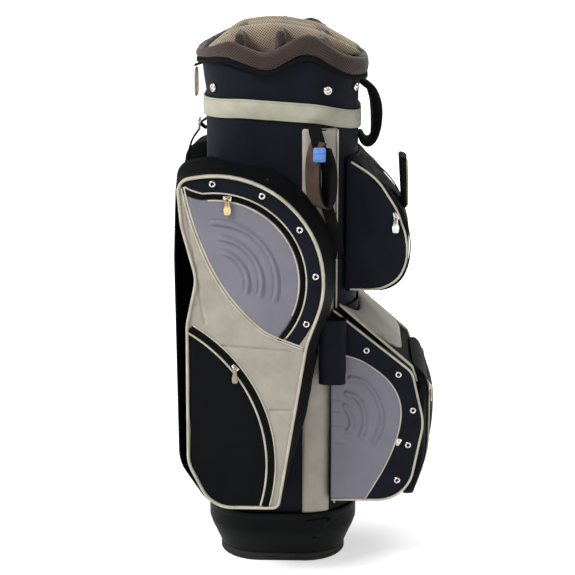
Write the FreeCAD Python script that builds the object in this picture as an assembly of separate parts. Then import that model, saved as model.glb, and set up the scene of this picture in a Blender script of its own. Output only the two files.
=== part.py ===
import FreeCAD, Part
import math
import os

# Golf cart bag, millimetres, +Z up.  The origin is the middle of the sole, on the floor.
# The front of the bag (ball pocket) faces -Y, and the bag is a mirror image of itself
# about the YZ plane.  Side views are drawn in "u" and "z", where u = -Y points forward.

# ---- driving dimensions ----------------------------------------------------------------
TUBE_X = 109.0            # half width of the covered tube
TUBE_U = 124.0            # half depth of the covered tube
TUBE_R = 86.0             # corner radius of the covered tube
COVER_T = 2.4             # cloth cover on the tube
LINER_T = 2.0             # stiff plastic tube inside the cover
FIT = 0.3                 # gap between sewn or stacked pieces
SPINE_T = 2.0             # leathercloth strips on the tube

SOLE_H = 15.0             # rubber sole
BASE_TOP = 97.0           # top of the moulded base
BASE_WIDE_Z = 60.0        # height where the base is widest, and where the tube stands in it
BASE_FLOOR = 7.0          # floor of the base
BASE_FOOT_INSET = 17.0    # how far the foot of the base steps in from the tube
BASE_T = 4.0              # wall of the moulded base

COLLAR_Z = 770.0          # seam between tube cover and collar, hidden by the band
LINER_TOP = 850.0
COLLAR_FLARE = 9.0        # how far the collar widens up to the cuff
COLLAR_FLARE_Z = 799.0    # it starts to widen above the band
COLLAR_FLARE_TOP = 868.0  # and has widened by COLLAR_FLARE at this height
COLLAR_SEAT_Z = 855.0     # inside, it makes room for the padded bars above this height
CUFF_STEP_X = 16.0        # how far the padded cuff stands out from the tube, to the sides
CUFF_STEP_U = 15.0        # and to the front and back
CUFF_X = TUBE_X + CUFF_STEP_X
CUFF_U = TUBE_U + CUFF_STEP_U
CUFF_R = TUBE_R + 14.0
CUFF_T = 14.0             # padding of the cuff
TRIM_H = 8.0              # binding under the cuff
BAND_T = 2.4              # band round the collar seam

BAR_W = 16.0              # padded bars of the divider top
BAR_Z = 858.0             # underside of the bars
BAR_ROWS = (-64.0, 0.0, 63.0)
BAR_SIDE = 52.0           # outer long bars, middle rows
BAR_END_X = 30.0          # outer long bars, where they reach the cuff
SHEET_T = 1.5             # divider sheets
SHEET_Z = 62.0

POCKET_X = 178.0          # outside of the side pocket walls
POCKET_BACK_X = 75.0      # where the side pocket ends behind the tube
POCKET_FLARE = 8.0        # how much wider the pocket is at the tube
POCKET_T = 3.0            # wall of every pocket
PANEL_T = 5.0             # padded face panels
FACE_T = 2.0              # cloth laid on the face panels
ARC_U, ARC_Z = -100.0, 520.0     # centre of every arc at the top of the side pocket
ARC_R = 172.0             # outside edge of the side pocket
ARC_SEAM_DEG = 40.0       # where its two corner arcs meet
ARC_EASE = 4.0            # they are this much tighter, which leaves a short straight between them
ZIP_IN = 134.0            # door zip, inside radius
ZIP_W = 7.0
ZIP_OUT = ZIP_IN + ZIP_W  # door zip, outside radius
PIPE_W = 4.5
PIPE_T = 3.4
LOW_U, LOW_Z = -281.0, 215.0     # centre of the lower pocket's arcs
LOW_R = 261.0             # lower pocket's edge
LOW_ZIP_W = 13.0
DOOR_GAP = 0.9            # round the door's zip, which swings through it
HINGE_GAP = 0.6           # at the door's fold
DOOR_LINE = ((-147.0, 683.0), (40.0, 413.0))     # the door folds along this line
DOOR_REACH = ZIP_IN - 13.0        # half length of its fold, short enough for its tips to swing free
EYELET_ANGLES = (91, 62, 33, 4, -25)
EYELET_R = 158.0          # where the eyelets sit
EYELET_OUT, EYELET_IN, EYELET_T = 5.5, 2.5, 1.2

SLIDER_L, SLIDER_W, SLIDER_T = 13.0, 9.0, 3.4
PULL_L, PULL_W, PULL_T = 25.0, 9.0, 1.8
DOOR_SLIDER_DEG = 81.5
LOW_SLIDER_DEG = 38.0
GUSSET_SLIDER_DEG = 62.0
GUSSET_SLIDER_IN = 22.0   # how far in from the pocket's face its middle lies
GUSSET_SLIDER_UP = 1.1    # how far its middle stands above the pocket's top

BALL_X = 112.0            # half width of the ball pocket
PIPE_OUT = 2.5            # how far its piping stands out
BALL_GAP = 0.6            # between the ball pocket and its door
BALL_T = 7.0              # wall of the padded ball pocket door
BALL_CROWN_R = 296.0      # curve of the door across the bag
BALL_NOSE = 258.0         # furthest point of the door
BALL_ZIP_X = 96.0         # the front zip runs down the door at this x
BALL_SLIDER_Z = 321.0
LID_X = 92.0              # half width of the slanted lid
LID_SLIDER = (160.0, 397.4)      # (u, z) of the lid's slider
LID_SLOPE = 38.8          # degrees
UPPER_X = 86.0            # half width of the upper front pocket
UPPER_ARC = (74.0, 552.0, 131.0)  # centre and radius of the upper pocket's zip

SLEEVE_U, SLEEVE_HALF_U, SLEEVE_HALF_X = 84.5, 22.5, 12.0
SLEEVE_Z0, SLEEVE_Z1 = 335.0, 445.0
SLEEVE_T = 2.5

PAD_X, PAD_T = 56.0, 6.0  # padded back panel
PAD_Z0, PAD_Z1 = 375.0, 690.0

RING_U = -TUBE_U - 17.0   # towel ring
RING_TOP = 832.5
RING_H, RING_W, RING_T = 47.0, 42.0, 4.0
RING_PLAY = 0.9           # the ring turns under its tab
STRAP_W = 50.0            # padded middle of the shoulder strap
STRAP_END_W = 24.0        # webbing at its two ends
STRAP_T = 9.0
STRAP_U = -TUBE_U - 13.0  # line through both strap rings
STRAP_TOP, STRAP_LOW = 732.0, 336.0
STRAP_RING_H, STRAP_RING_W, STRAP_RING_T = 17.0, 40.0, 3.0
STRAP_PLAY = 0.6          # between the strap's ends and its rings

# ---- outlines, as corners (u, z, radius) -----------------------------------------------
BAND = [(-160, 790, 0), (-60, 798, 200), (60, 790, 200), (160, 762, 0),
        (160, 734, 0), (60, 760, 200), (-60, 768, 200), (-160, 760, 0)]
TRIM_LINE = [(-160, 846, 0), (-92, 859, 40), (-18, 838, 30), (42, 869, 40),
             (110, 829, 60), (160, 822, 0)]
RIM_LINE = [(-160, 858, 0), (-84, 891, 30), (-24, 873, 30), (46, 905, 30),
            (100, 868, 50), (160, 850, 0)]
BAR_LINE = [(-160, 832, 0), (-72, 904, 50), (-10, 913, 200), (58, 900, 60), (160, 846, 0)]
PANEL_LEFT = [(-112, 136, 55), (-150, 215, 70), (-148, 450, 80), (-132, 525, 60),
              (-154, 610, 80), (-160, 684, 22)]
GUSSET_LEFT = [(-112, 136, 55), (-163, 215, 70), (-165, 560, 300), (-160, 684, 22)]
BALL_SIDE = [(82, 459.6, 3), (217, 351, 14), (238, 262, 90), (207, 122, 28), (82, 122, 3)]
BALL_DOOR = [(216, 352, 2), (231, 352, 8), (266, 262, 90), (230, 122, 10), (212, 122, 2),
             (243, 262, 90)]
LID = [(92, 457, 2), (97, 463, 2), (212, 370, 3), (208, 363, 2)]
UPPER = [(104, 704, 3), (128, 691, 40), (206, 600, 90), (206, 482, 48), (104, 480, 3)]
TAB = [(196.5, 606, 2), (205.5, 606, 2), (203.5, 688, 3), (190.5, 692, 3)]
TAB_X = 25.0
HANDLE_LINE = [(TUBE_U, 813), (TUBE_U + 19, 801), (TUBE_U + 28, 775), (TUBE_U + 30, 740),
               (TUBE_U + 26, 716), (TUBE_U + 2, 703)]
HANDLE_W, HANDLE_T = 46.0, 10.0
STRAP_LINE = [(STRAP_U, 735), (STRAP_U - 15, 706), (STRAP_U - 23, 660), (STRAP_U - 24, 520),
              (STRAP_U - 18, 400), (STRAP_U, 332)]
STRAP_Z0, STRAP_Z1 = STRAP_LOW + STRAP_PLAY, STRAP_TOP - STRAP_PLAY
STRAP_SHAPE = [(-STRAP_END_W / 2, STRAP_Z0, 0), (STRAP_END_W / 2, STRAP_Z0, 0), (STRAP_END_W / 2, 375, 20),
               (STRAP_W / 2, 440, 40), (STRAP_W / 2, 640, 40), (STRAP_END_W / 2, 700, 20),
               (STRAP_END_W / 2, STRAP_Z1, 0), (-STRAP_END_W / 2, STRAP_Z1, 0), (-STRAP_END_W / 2, 700, 20),
               (-STRAP_W / 2, 640, 40), (-STRAP_W / 2, 440, 40), (-STRAP_END_W / 2, 375, 20)]
LOOP_C = (65.0, 684.0)    # middle of the umbrella strap's loop
LOOP_U, LOOP_Z = 18.0, 52.0
LOOP_T = 2.5
LOOP_W = 24.0
HANG_T = 4.0
TAIL_LINE = [(66, 634), (80, 604), (94, 552)]
TAIL_W = 12.0


# ---- shape helpers ---------------------------------------------------------------------
def vec(x, u, z):
    return FreeCAD.Vector(x, -u, z)


def grown(points, d):
    """Move each edge of a closed outline outwards by d, keeping its corners."""
    area = sum(a[0] * b[1] - b[0] * a[1] for a, b in zip(points, points[1:] + points[:1]))
    turn = 1 if area > 0 else -1
    result = []
    for before, here, after in zip(points[-1:] + points[:-1], points, points[1:] + points[:1]):
        a = (here[0] - before[0], here[1] - before[1])
        b = (after[0] - here[0], after[1] - here[1])
        la, lb = math.hypot(*a), math.hypot(*b)
        na = (turn * a[1] / la, -turn * a[0] / la)
        nb = (turn * b[1] / lb, -turn * b[0] / lb)
        scale = d / (1 + na[0] * nb[0] + na[1] * nb[1])
        convex = turn * (a[0] * b[1] - a[1] * b[0]) > 0
        radius = here[2] + d if convex else here[2] - d
        result.append((here[0] + scale * (na[0] + nb[0]),
                       here[1] + scale * (na[1] + nb[1]), max(radius, 0.5)))
    return result


def corner(before, here, after):
    """Start, middle and end of the arc that rounds one corner of an outline."""
    a = (before[0] - here[0], before[1] - here[1])
    b = (after[0] - here[0], after[1] - here[1])
    la, lb = math.hypot(*a), math.hypot(*b)
    a = (a[0] / la, a[1] / la)
    b = (b[0] / lb, b[1] / lb)
    half = math.acos(max(-1, min(1, a[0] * b[0] + a[1] * b[1]))) / 2
    reach = here[2] / math.tan(half)
    m = (a[0] + b[0], a[1] + b[1])
    lm = math.hypot(*m)
    mid = here[2] / math.sin(half) - here[2]
    return ((here[0] + a[0] * reach, here[1] + a[1] * reach),
            (here[0] + m[0] / lm * mid, here[1] + m[1] / lm * mid),
            (here[0] + b[0] * reach, here[1] + b[1] * reach))


def closed_wire(points, place):
    """Lines and corner arcs through the outline; place turns (a, b) into a 3-D point."""
    arcs = []
    for before, here, after in zip(points[-1:] + points[:-1], points, points[1:] + points[:1]):
        if here[2]:
            arcs.append(corner(before, here, after))
        else:
            arcs.append((here[:2], None, here[:2]))
    edges = []
    for arc, following in zip(arcs, arcs[1:] + arcs[:1]):
        if arc[1]:
            edges.append(Part.Arc(place(*arc[0]), place(*arc[1]), place(*arc[2])).toShape())
        if (place(*arc[2]) - place(*following[0])).Length > 1e-6:
            edges.append(Part.LineSegment(place(*arc[2]), place(*following[0])).toShape())
    return Part.Wire(edges)


def slab(points, x0, x1):
    """A side-view outline made solid from x0 to x1."""
    wire = closed_wire(points, lambda u, z: vec(x0, u, z))
    return Part.Face(wire).extrude(FreeCAD.Vector(x1 - x0, 0, 0))


def taper(points0, x0, points1, x1):
    """A ruled solid between two side-view outlines."""
    ends = [closed_wire(points, lambda u, z, x=x: vec(x, u, z))
            for points, x in ((points0, x0), (points1, x1))]
    return Part.makeLoft(ends, True, True)


def rounded(hx, hu, r):
    return [(-hx, -hu, r), (hx, -hu, r), (hx, hu, r), (-hx, hu, r)]


def column(hx, hu, r, z0, z1):
    """A rounded rectangle in plan, from z0 to z1."""
    wire = closed_wire(rounded(hx, hu, r), lambda x, u: vec(x, u, z0))
    return Part.Face(wire).extrude(FreeCAD.Vector(0, 0, z1 - z0))


def funnel(low, z0, high, z1):
    """A ruled solid between two plan outlines (hx, hu, r)."""
    ends = [closed_wire(rounded(*size), lambda x, u, z=z: vec(x, u, z))
            for size, z in ((low, z0), (high, z1))]
    return Part.makeLoft(ends, True, True)


def tube_column(d, z0=0.0, z1=1000.0):
    """The tube's section, grown by d."""
    return column(TUBE_X + d, TUBE_U + d, TUBE_R + d, z0, z1)


def under(line, drop, z0):
    """Everything below a wavy line moved by drop, down to z0, across the whole bag."""
    top = [(u, z + drop, r) for u, z, r in line]
    return slab(top + [(line[-1][0], z0, 0), (line[0][0], z0, 0)], -200, 200)


def block(x0, x1, u0, u1, z0, z1):
    return Part.makeBox(x1 - x0, u1 - u0, z1 - z0, FreeCAD.Vector(x0, -u1, z0))


def upright(x0, u0, x1, u1, t, z0, z1):
    """A vertical plate of thickness t between two points in plan."""
    length = math.hypot(x1 - x0, u1 - u0)
    n = ((u1 - u0) / length * t / 2, -(x1 - x0) / length * t / 2)
    ring = [vec(x0 + n[0], u0 + n[1], z0), vec(x1 + n[0], u1 + n[1], z0),
            vec(x1 - n[0], u1 - n[1], z0), vec(x0 - n[0], u0 - n[1], z0)]
    face = Part.Face(Part.makePolygon(ring + ring[:1]))
    return face.extrude(FreeCAD.Vector(0, 0, z1 - z0))


def strip(line, t):
    """The outline of a strap of thickness t that follows the points of a line."""
    sides = ([], [])
    for i, (u, z) in enumerate(line):
        a = line[max(i - 1, 0)]
        b = line[min(i + 1, len(line) - 1)]
        length = math.hypot(b[0] - a[0], b[1] - a[1])
        n = ((b[1] - a[1]) / length, (a[0] - b[0]) / length)
        r = 0 if i in (0, len(line) - 1) else 25
        for side, sign in zip(sides, (1, -1)):
            side.append((u + sign * n[0] * t / 2, z + sign * n[1] * t / 2, r))
    return sides[0] + sides[1][::-1]


def disc(radius, t, x, u, z):
    """A washer blank on a side face, growing outwards from x by t."""
    return Part.makeCylinder(radius, abs(t), vec(x, u, z), FreeCAD.Vector(math.copysign(1, t), 0, 0))


def polar(centre_u, centre_z, radius, degrees):
    angle = math.radians(degrees)
    return centre_u + radius * math.cos(angle), centre_z + radius * math.sin(angle)


def turned(shape, centre_u, centre_z, degrees):
    """Turn a side-view shape anticlockwise as seen with u to the right and z up."""
    copy = shape.copy()
    copy.rotate(vec(0, centre_u, centre_z), FreeCAD.Vector(-1, 0, 0), degrees)
    return copy


def mirrored(shape):
    return shape.mirror(FreeCAD.Vector(0, 0, 0), FreeCAD.Vector(1, 0, 0))


def save(name, *shapes):
    shape = shapes[0] if len(shapes) == 1 else Part.makeCompound(shapes)
    shape.exportStep(f"parts/{name}.step")


def save_pair(name, shape):
    """The near piece is drawn on the -X side, and its twin is its mirror image."""
    save("left_" + name, shape)
    save("right_" + name, mirrored(shape))


# ---- base and tube ---------------------------------------------------------------------
def inset(d):
    return TUBE_X - d, TUBE_U - d, TUBE_R - d


def base():
    wide = inset(-COVER_T)
    foot = inset(BASE_FOOT_INSET)
    step = inset(COVER_T + FIT + LINER_T)
    hollow = inset(BASE_FOOT_INSET + BASE_T)
    save("sole", column(*foot, 0, SOLE_H))
    cup = funnel(foot, SOLE_H, wide, BASE_WIDE_Z).fuse(column(*wide, BASE_WIDE_Z, BASE_TOP))
    cup = cup.cut(funnel(hollow, SOLE_H + BASE_FLOOR, step, BASE_WIDE_Z))
    cup = cup.cut(column(*inset(COVER_T), BASE_WIDE_Z, BASE_TOP))
    save("base_cup", cup.removeSplitter())


def tube():
    outer = inset(COVER_T + FIT)
    inner = inset(COVER_T + FIT + LINER_T)
    liner = column(*outer, BASE_WIDE_Z + FIT, LINER_TOP)
    save("tube_liner", liner.cut(column(*inner, BASE_WIDE_Z, LINER_TOP)))
    cover = tube_column(0, BASE_TOP + FIT, COLLAR_Z)
    save("tube_cover", cover.cut(tube_column(-COVER_T, BASE_TOP, COLLAR_Z)))


def collar_outline(z):
    """The collar's half width, half depth and corner radius at height z."""
    grow = COLLAR_FLARE * max(z - COLLAR_FLARE_Z, 0) / (COLLAR_FLARE_TOP - COLLAR_FLARE_Z)
    return TUBE_X + grow, TUBE_U + grow, TUBE_R + grow


def collar():
    top = 900.0
    body = funnel(collar_outline(COLLAR_FLARE_Z), COLLAR_FLARE_Z, collar_outline(top), top)
    body = body.fuse(tube_column(0, COLLAR_Z + FIT, COLLAR_FLARE_Z))
    body = body.cut(tube_column(-COVER_T, COLLAR_Z, top))
    body = body.cut(column(CUFF_X - CUFF_T, CUFF_U - CUFF_T, CUFF_R - CUFF_T, COLLAR_SEAT_Z, top))
    save("collar", body.common(under(TRIM_LINE, -TRIM_H / 2 - FIT, COLLAR_Z)))
    band = tube_column(FIT + 1 + BAND_T).cut(tube_column(FIT + 1))
    save("band", band.common(slab(BAND, -200, 200)))


def snaps():
    """Hood snaps on the collar: a cap disc whose axis is the wall's normal."""
    radius, height, z = 7.0, 3.0, 811.0
    lean = 1.0            # the collar leans out by this much under half a snap
    hx, hu, r = collar_outline(z)
    places = []
    for degrees in (-52, 24, 65):
        angle = math.radians(degrees)
        n = (math.cos(angle), math.sin(angle))
        side_u = math.copysign(hu - r, degrees)
        places.append(((hx - r) + n[0] * r, side_u + n[1] * r, n))
    solids = []
    for x, u, n in places:
        for side in (-1, 1):
            axis = FreeCAD.Vector(side * n[0], -n[1], 0)
            start = vec(side * x, u, z) + axis * (FIT + lean)
            solids.append(Part.makeCylinder(radius, height, start, axis))
    save("hood_snaps", *solids)


def cuff():
    inner = column(CUFF_X - CUFF_T, CUFF_U - CUFF_T, CUFF_R - CUFF_T, 800, 950)
    lower = under(TRIM_LINE, TRIM_H / 2 + FIT, 700)
    pad = column(CUFF_X, CUFF_U, CUFF_R, 800, 950).cut(inner)
    save("cuff_pad", pad.common(under(RIM_LINE, 0, 700)).cut(lower))
    trim = column(CUFF_X - 4, CUFF_U - 3, CUFF_R - 4, 800, 950)
    trim = trim.cut(inner)
    trim = trim.common(under(TRIM_LINE, TRIM_H / 2, 700)).cut(under(TRIM_LINE, -TRIM_H / 2, 700))
    save("cuff_trim", trim)


# ---- divider top -----------------------------------------------------------------------
def long_runs():
    """Plan lines of the lengthwise dividers: middle rows straight, end rows slanted."""
    back, middle, front = BAR_ROWS
    wall = TUBE_U - 4
    corner_u = BAR_W / 2
    runs = [(0, back + corner_u, 0, middle - corner_u), (0, middle + corner_u, 0, front - corner_u)]
    for side in (-1, 1):
        x, end_x = side * BAR_SIDE, side * BAR_END_X
        runs.append((x, back + corner_u, x, middle - corner_u))
        runs.append((x, middle + corner_u, x, front - corner_u))
        runs.append((x, front + corner_u, end_x, wall))
        runs.append((x, back - corner_u, end_x, -wall))
    return runs


def dividers():
    room = column(CUFF_X - CUFF_T - FIT, CUFF_U - CUFF_T - FIT, CUFF_R - CUFF_T, BAR_Z, 950)
    dome = under(BAR_LINE, 0, 800).common(room)
    well = column(*inset(COVER_T + 2 * FIT + LINER_T), SHEET_Z, BAR_Z - FIT)
    long_bars = []
    long_sheets = []
    for x0, u0, x1, u1 in long_runs():
        gap = math.copysign(FIT, u1 - u0)
        bar = upright(x0, u0 + gap, x1, u1 - gap, BAR_W, BAR_Z, 950)
        for u in BAR_ROWS:
            bar = bar.cut(upright(-200, u, 200, u, BAR_W + 2 * FIT, BAR_Z, 950))
        long_bars.append(bar.common(dome))
        reach = math.copysign(BAR_W / 2, u1 - u0)
        at_wall = abs(u1) > abs(BAR_ROWS[0]) + BAR_W
        sheet = upright(x0, u0 - reach, x1, u1 if at_wall else u1 + reach, SHEET_T, SHEET_Z, BAR_Z)
        for u in BAR_ROWS:
            sheet = sheet.cut(upright(-200, u, 200, u, SHEET_T + 2 * FIT, SHEET_Z, BAR_Z))
        long_sheets.append(sheet.common(well))
    cross_dome = under(BAR_LINE, -3, 800).common(room)
    cross_bars = [upright(-200, u, 200, u, BAR_W, BAR_Z, 950).common(cross_dome) for u in BAR_ROWS]
    cross_sheets = [upright(-200, u, 200, u, SHEET_T, SHEET_Z, BAR_Z).common(well) for u in BAR_ROWS]
    save("long_bars", *long_bars)
    save("cross_bars", *cross_bars)
    save("long_dividers", *long_sheets)
    save("cross_dividers", *cross_sheets)


# ---- trims on the tube -----------------------------------------------------------------
def spine_and_back():
    """Leathercloth strips up both front corners, and the padded back panel."""
    face = tube_column(FIT + SPINE_T, BASE_TOP + FIT, 752).cut(tube_column(FIT))
    edge = [(36, 90, 0), (80, 90, 0), (90, 770, 0), (34, 770, 0)]
    near = face.common(slab(edge, -200, 0))
    save("spine_strips", near, mirrored(near))
    pad = tube_column(PAD_T, PAD_Z0, PAD_Z1).cut(tube_column(FIT))
    save("back_pad", pad.common(block(-PAD_X, PAD_X, -200, 0, PAD_Z0, PAD_Z1)))


# ---- side pockets ----------------------------------------------------------------------
def side_outline(left):
    """Side pocket outline: the top is two corners of one arc, the left side is given."""
    half = 30
    reach = ARC_R / math.cos(math.radians(half))
    top = polar(ARC_U, ARC_Z, reach, ARC_SEAM_DEG + half)
    front = polar(ARC_U, ARC_Z, reach, ARC_SEAM_DEG - half)
    r = ARC_R - ARC_EASE
    return left + [top + (r,), front + (r,), (46, 418, 150), (0, 136, 14)]


def door_chord():
    """The hinge line of the door: a point on it, its direction and its normal."""
    start, end = DOOR_LINE
    length = math.hypot(end[0] - start[0], end[1] - start[1])
    along = ((end[0] - start[0]) / length, (end[1] - start[1]) / length)
    return start, along, (-along[1], along[0])


def above_chord(gap, reach):
    """A strip of the side view above the hinge line, reaching both ways along it."""
    start, along, normal = door_chord()
    lift = (start[0] - ARC_U) * normal[0] + (start[1] - ARC_Z) * normal[1] + gap
    foot = (ARC_U + lift * normal[0], ARC_Z + lift * normal[1])
    ends = [(foot[0] + way * reach * along[0], foot[1] + way * reach * along[1]) for way in (-1, 1)]
    tops = [(u + ARC_R * normal[0], z + ARC_R * normal[1]) for u, z in ends]
    return [corner_at + (0,) for corner_at in (ends[0], ends[1], tops[1], tops[0])]


def arc_ring(centre_u, centre_z, inner, outer, x0, x1):
    """A flat ring in side view, from x0 outwards to x1."""
    ring = disc(outer, x1 - x0, x0, centre_u, centre_z)
    return ring.cut(disc(inner, x1 - x0, x0, centre_u, centre_z))


def side_pocket():
    panel_line = side_outline(PANEL_LEFT)
    gusset_line = side_outline(GUSSET_LEFT)
    near_tube = tube_column(2 * FIT + SPINE_T)
    x_panel = -POCKET_X - FIT
    x_face = x_panel - PANEL_T
    x_cloth = x_face - FIT
    x_out = x_cloth - FACE_T
    outer = taper(gusset_line, -POCKET_X, grown(gusset_line, POCKET_FLARE), -POCKET_BACK_X)
    room = taper(grown(gusset_line, -POCKET_T), -POCKET_X,
                 grown(gusset_line, POCKET_FLARE - POCKET_T), -POCKET_BACK_X)
    room = room.common(block(-POCKET_X, -POCKET_BACK_X - POCKET_T, -300, 300, 0, 800))
    wall = outer.cut(room.cut(tube_column(2 * FIT + SPINE_T + POCKET_T))).cut(near_tube)
    save_pair("gusset", wall)

    door_hole = disc(ZIP_OUT + DOOR_GAP, -20, -POCKET_X, ARC_U, ARC_Z)
    door_hole = door_hole.common(slab(above_chord(-HINGE_GAP, 2 * ARC_R), -POCKET_X - 20, -POCKET_X))
    door_hole = door_hole.common(slab(grown(panel_line, -PIPE_W - 1), -POCKET_X - 20, -POCKET_X))
    panel = slab(panel_line, x_panel, x_face).cut(door_hole)
    save_pair("panel", panel)

    trim_line = grown(panel_line, -PIPE_W - FIT)
    band = disc(ARC_R, -FACE_T, x_cloth, ARC_U, ARC_Z)
    band = band.cut(disc(ZIP_OUT + DOOR_GAP, -FACE_T, x_cloth, ARC_U, ARC_Z))
    wedge = [(-149, 640, 0), (-149, 720, 0), (90, 720, 0), (90, 418, 0), (-20, 418, 0),
             (-60, 520, 0)]
    band = band.common(slab(trim_line, x_out, x_cloth)).common(slab(wedge, x_out, x_cloth))
    save_pair("arc_band", band)

    low = disc(LOW_R - FIT, -FACE_T, x_cloth, LOW_U, LOW_Z)
    low = low.common(slab(trim_line, x_out, x_cloth))
    low = low.common(block(x_out, x_cloth, -200, 100, 0, 452))
    save_pair("low_panel", low)
    zip_band = arc_ring(LOW_U, LOW_Z, LOW_R, LOW_R + LOW_ZIP_W, x_cloth, x_out)
    zip_band = zip_band.common(slab(trim_line, x_out, x_cloth))
    zip_band = zip_band.common(block(x_out, x_cloth, -200, 100, 0, 452))
    save("low_zips", zip_band, mirrored(zip_band))

    piping = slab(panel_line, x_cloth - PIPE_T, x_cloth)
    piping = piping.cut(slab(grown(panel_line, -PIPE_W), x_cloth - PIPE_T, x_cloth))
    save("side_piping", piping, mirrored(piping))

    plate = disc(ZIP_IN - FIT, x_out - x_panel, x_panel, ARC_U, ARC_Z)
    leaf = slab(above_chord(0, DOOR_REACH), x_out - 10, x_panel)
    inside = slab(grown(panel_line, -PIPE_W - 2), x_out - 10, x_panel)
    save_pair("door", plate.common(leaf).common(inside))
    zip_ring = arc_ring(ARC_U, ARC_Z, ZIP_IN, ZIP_OUT, x_panel, x_out)
    save_pair("door_zip", zip_ring.common(leaf).common(inside))
    return x_out


def washers(places, x):
    """Eyelets: a ring on each place (u, z) of a side face."""
    rings = []
    for u, z in places:
        ring = disc(EYELET_OUT, -EYELET_T, x, u, z).cut(disc(EYELET_IN, -EYELET_T, x, u, z))
        rings += [ring, mirrored(ring)]
    return rings


def slider(x):
    """A zip slider lying along u at the origin of the side view, outwards from x."""
    body = block(x - SLIDER_T, x, -SLIDER_L / 2, SLIDER_L / 2, -SLIDER_W / 2, SLIDER_W / 2)
    return body.makeFillet(1.2, body.Edges)


def puller(x):
    """A puller that hangs from the origin of the side view."""
    tab = [(-PULL_W / 3, 2, 2), (PULL_W / 3, 2, 2), (PULL_W / 2, -PULL_L * 0.6, 3),
           (PULL_W / 2 - 1, -PULL_L + 2, 2.5), (-PULL_W / 2 + 1, -PULL_L + 2, 2.5),
           (-PULL_W / 2, -PULL_L * 0.6, 3)]
    return slab(tab, x - PULL_T, x)


def moved(shape, u, z, degrees=0):
    copy = turned(shape, 0, 0, degrees)
    copy.translate(FreeCAD.Vector(0, -u, z))
    return copy


def side_zips(x_out):
    x = x_out - FIT
    x_pull = x - SLIDER_T - FIT
    middle = (ZIP_IN + ZIP_OUT) / 2
    place = polar(ARC_U, ARC_Z, middle, DOOR_SLIDER_DEG)
    save_pair("door_slider", moved(slider(x), *place, DOOR_SLIDER_DEG - 90))
    save_pair("door_pull", moved(puller(x_pull), *place))
    place = polar(LOW_U, LOW_Z, LOW_R + LOW_ZIP_W / 2, LOW_SLIDER_DEG)
    save_pair("low_slider", moved(slider(x), *place, LOW_SLIDER_DEG - 90))
    save_pair("low_pull", moved(puller(x_pull), *place))
    place = polar(ARC_U, ARC_Z, ARC_R + POCKET_FLARE / 2 + GUSSET_SLIDER_UP, GUSSET_SLIDER_DEG)
    x_slider = -POCKET_X + GUSSET_SLIDER_IN
    body = block(x_slider - 6, x_slider + 6, -SLIDER_L / 2, SLIDER_L / 2, -2, 2)
    save_pair("gusset_slider", moved(body.makeFillet(1, body.Edges), *place, GUSSET_SLIDER_DEG - 90))
    side = [polar(ARC_U, ARC_Z, EYELET_R, degrees) for degrees in EYELET_ANGLES]
    front = [(140, 387), (193, 346), (218, 284), (211, 223), (194, 160)]
    save("eyelets", *washers(side, x), *washers(front, -BALL_X - FIT))


# ---- front pockets ---------------------------------------------------------------------
def ball_pocket():
    near_tube = tube_column(2 * FIT + SPINE_T)
    shell = slab(BALL_SIDE, -BALL_X, BALL_X)
    room = slab(grown(BALL_SIDE, -POCKET_T), -BALL_X + POCKET_T, BALL_X - POCKET_T)
    mouth = block(-BALL_X + 2 * POCKET_T, BALL_X - 2 * POCKET_T, 190, 260, 134, 342)
    shell = shell.cut(room).cut(mouth).cut(near_tube)
    save("ball_shell", shell)
    crown = Part.makeCylinder(BALL_CROWN_R, 400, vec(0, BALL_NOSE - BALL_CROWN_R, 0))
    inner = Part.makeCylinder(BALL_CROWN_R - BALL_T, 400, vec(0, BALL_NOSE - BALL_CROWN_R, 0))
    door = slab(BALL_DOOR, -BALL_X, BALL_X).common(crown)
    scoop = [(u + (6 if i in (0, 4, 5) else 0), z, r) for i, (u, z, r) in enumerate(BALL_DOOR)]
    scoop = slab(grown(scoop, -BALL_T), -BALL_X + BALL_T, BALL_X - BALL_T)
    scoop.translate(vec(0, -BALL_T * 2, 0))
    save("ball_door", door.cut(scoop.common(inner)).cut(slab(grown(BALL_SIDE, BALL_GAP), -200, 200)))
    rim = slab(BALL_SIDE, -BALL_X - FIT - PIPE_OUT, -BALL_X - FIT)
    rim = rim.cut(slab(grown(BALL_SIDE, -PIPE_W), -BALL_X - FIT - PIPE_OUT, -BALL_X - FIT))
    rim = rim.cut(near_tube)
    save("ball_piping", rim, mirrored(rim))
    save("ball_lid", slab(LID, -LID_X, LID_X).cut(near_tube))
    save_pair("ball_side_slider", moved(slider(-BALL_X - FIT), 195, 228, 70))
    u = BALL_NOSE - BALL_CROWN_R + math.sqrt(BALL_CROWN_R ** 2 - (BALL_ZIP_X - SLIDER_W / 2) ** 2) + FIT
    save("ball_slider", facing_front(moved(slider(0), 0, 0, 90), -BALL_ZIP_X, u, BALL_SLIDER_Z))
    save("ball_pull", facing_front(puller(-SLIDER_T - FIT), -BALL_ZIP_X, u, BALL_SLIDER_Z))
    run = -LID_X - FIT - SLIDER_W
    lid_slider = block(run, run + SLIDER_W, -SLIDER_L / 2, SLIDER_L / 2, 0, SLIDER_T)
    lid_slider = lid_slider.makeFillet(1, lid_slider.Edges)
    save("lid_slider", moved(lid_slider, *LID_SLIDER, -LID_SLOPE))


def facing_front(shape, x, u, z):
    """Turn a piece drawn on the -X side to face forwards, and set it at (x, u, z)."""
    copy = shape.copy()
    copy.rotate(FreeCAD.Vector(0, 0, 0), FreeCAD.Vector(0, 0, 1), 90)
    copy.translate(vec(x, u, z))
    return copy


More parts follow.
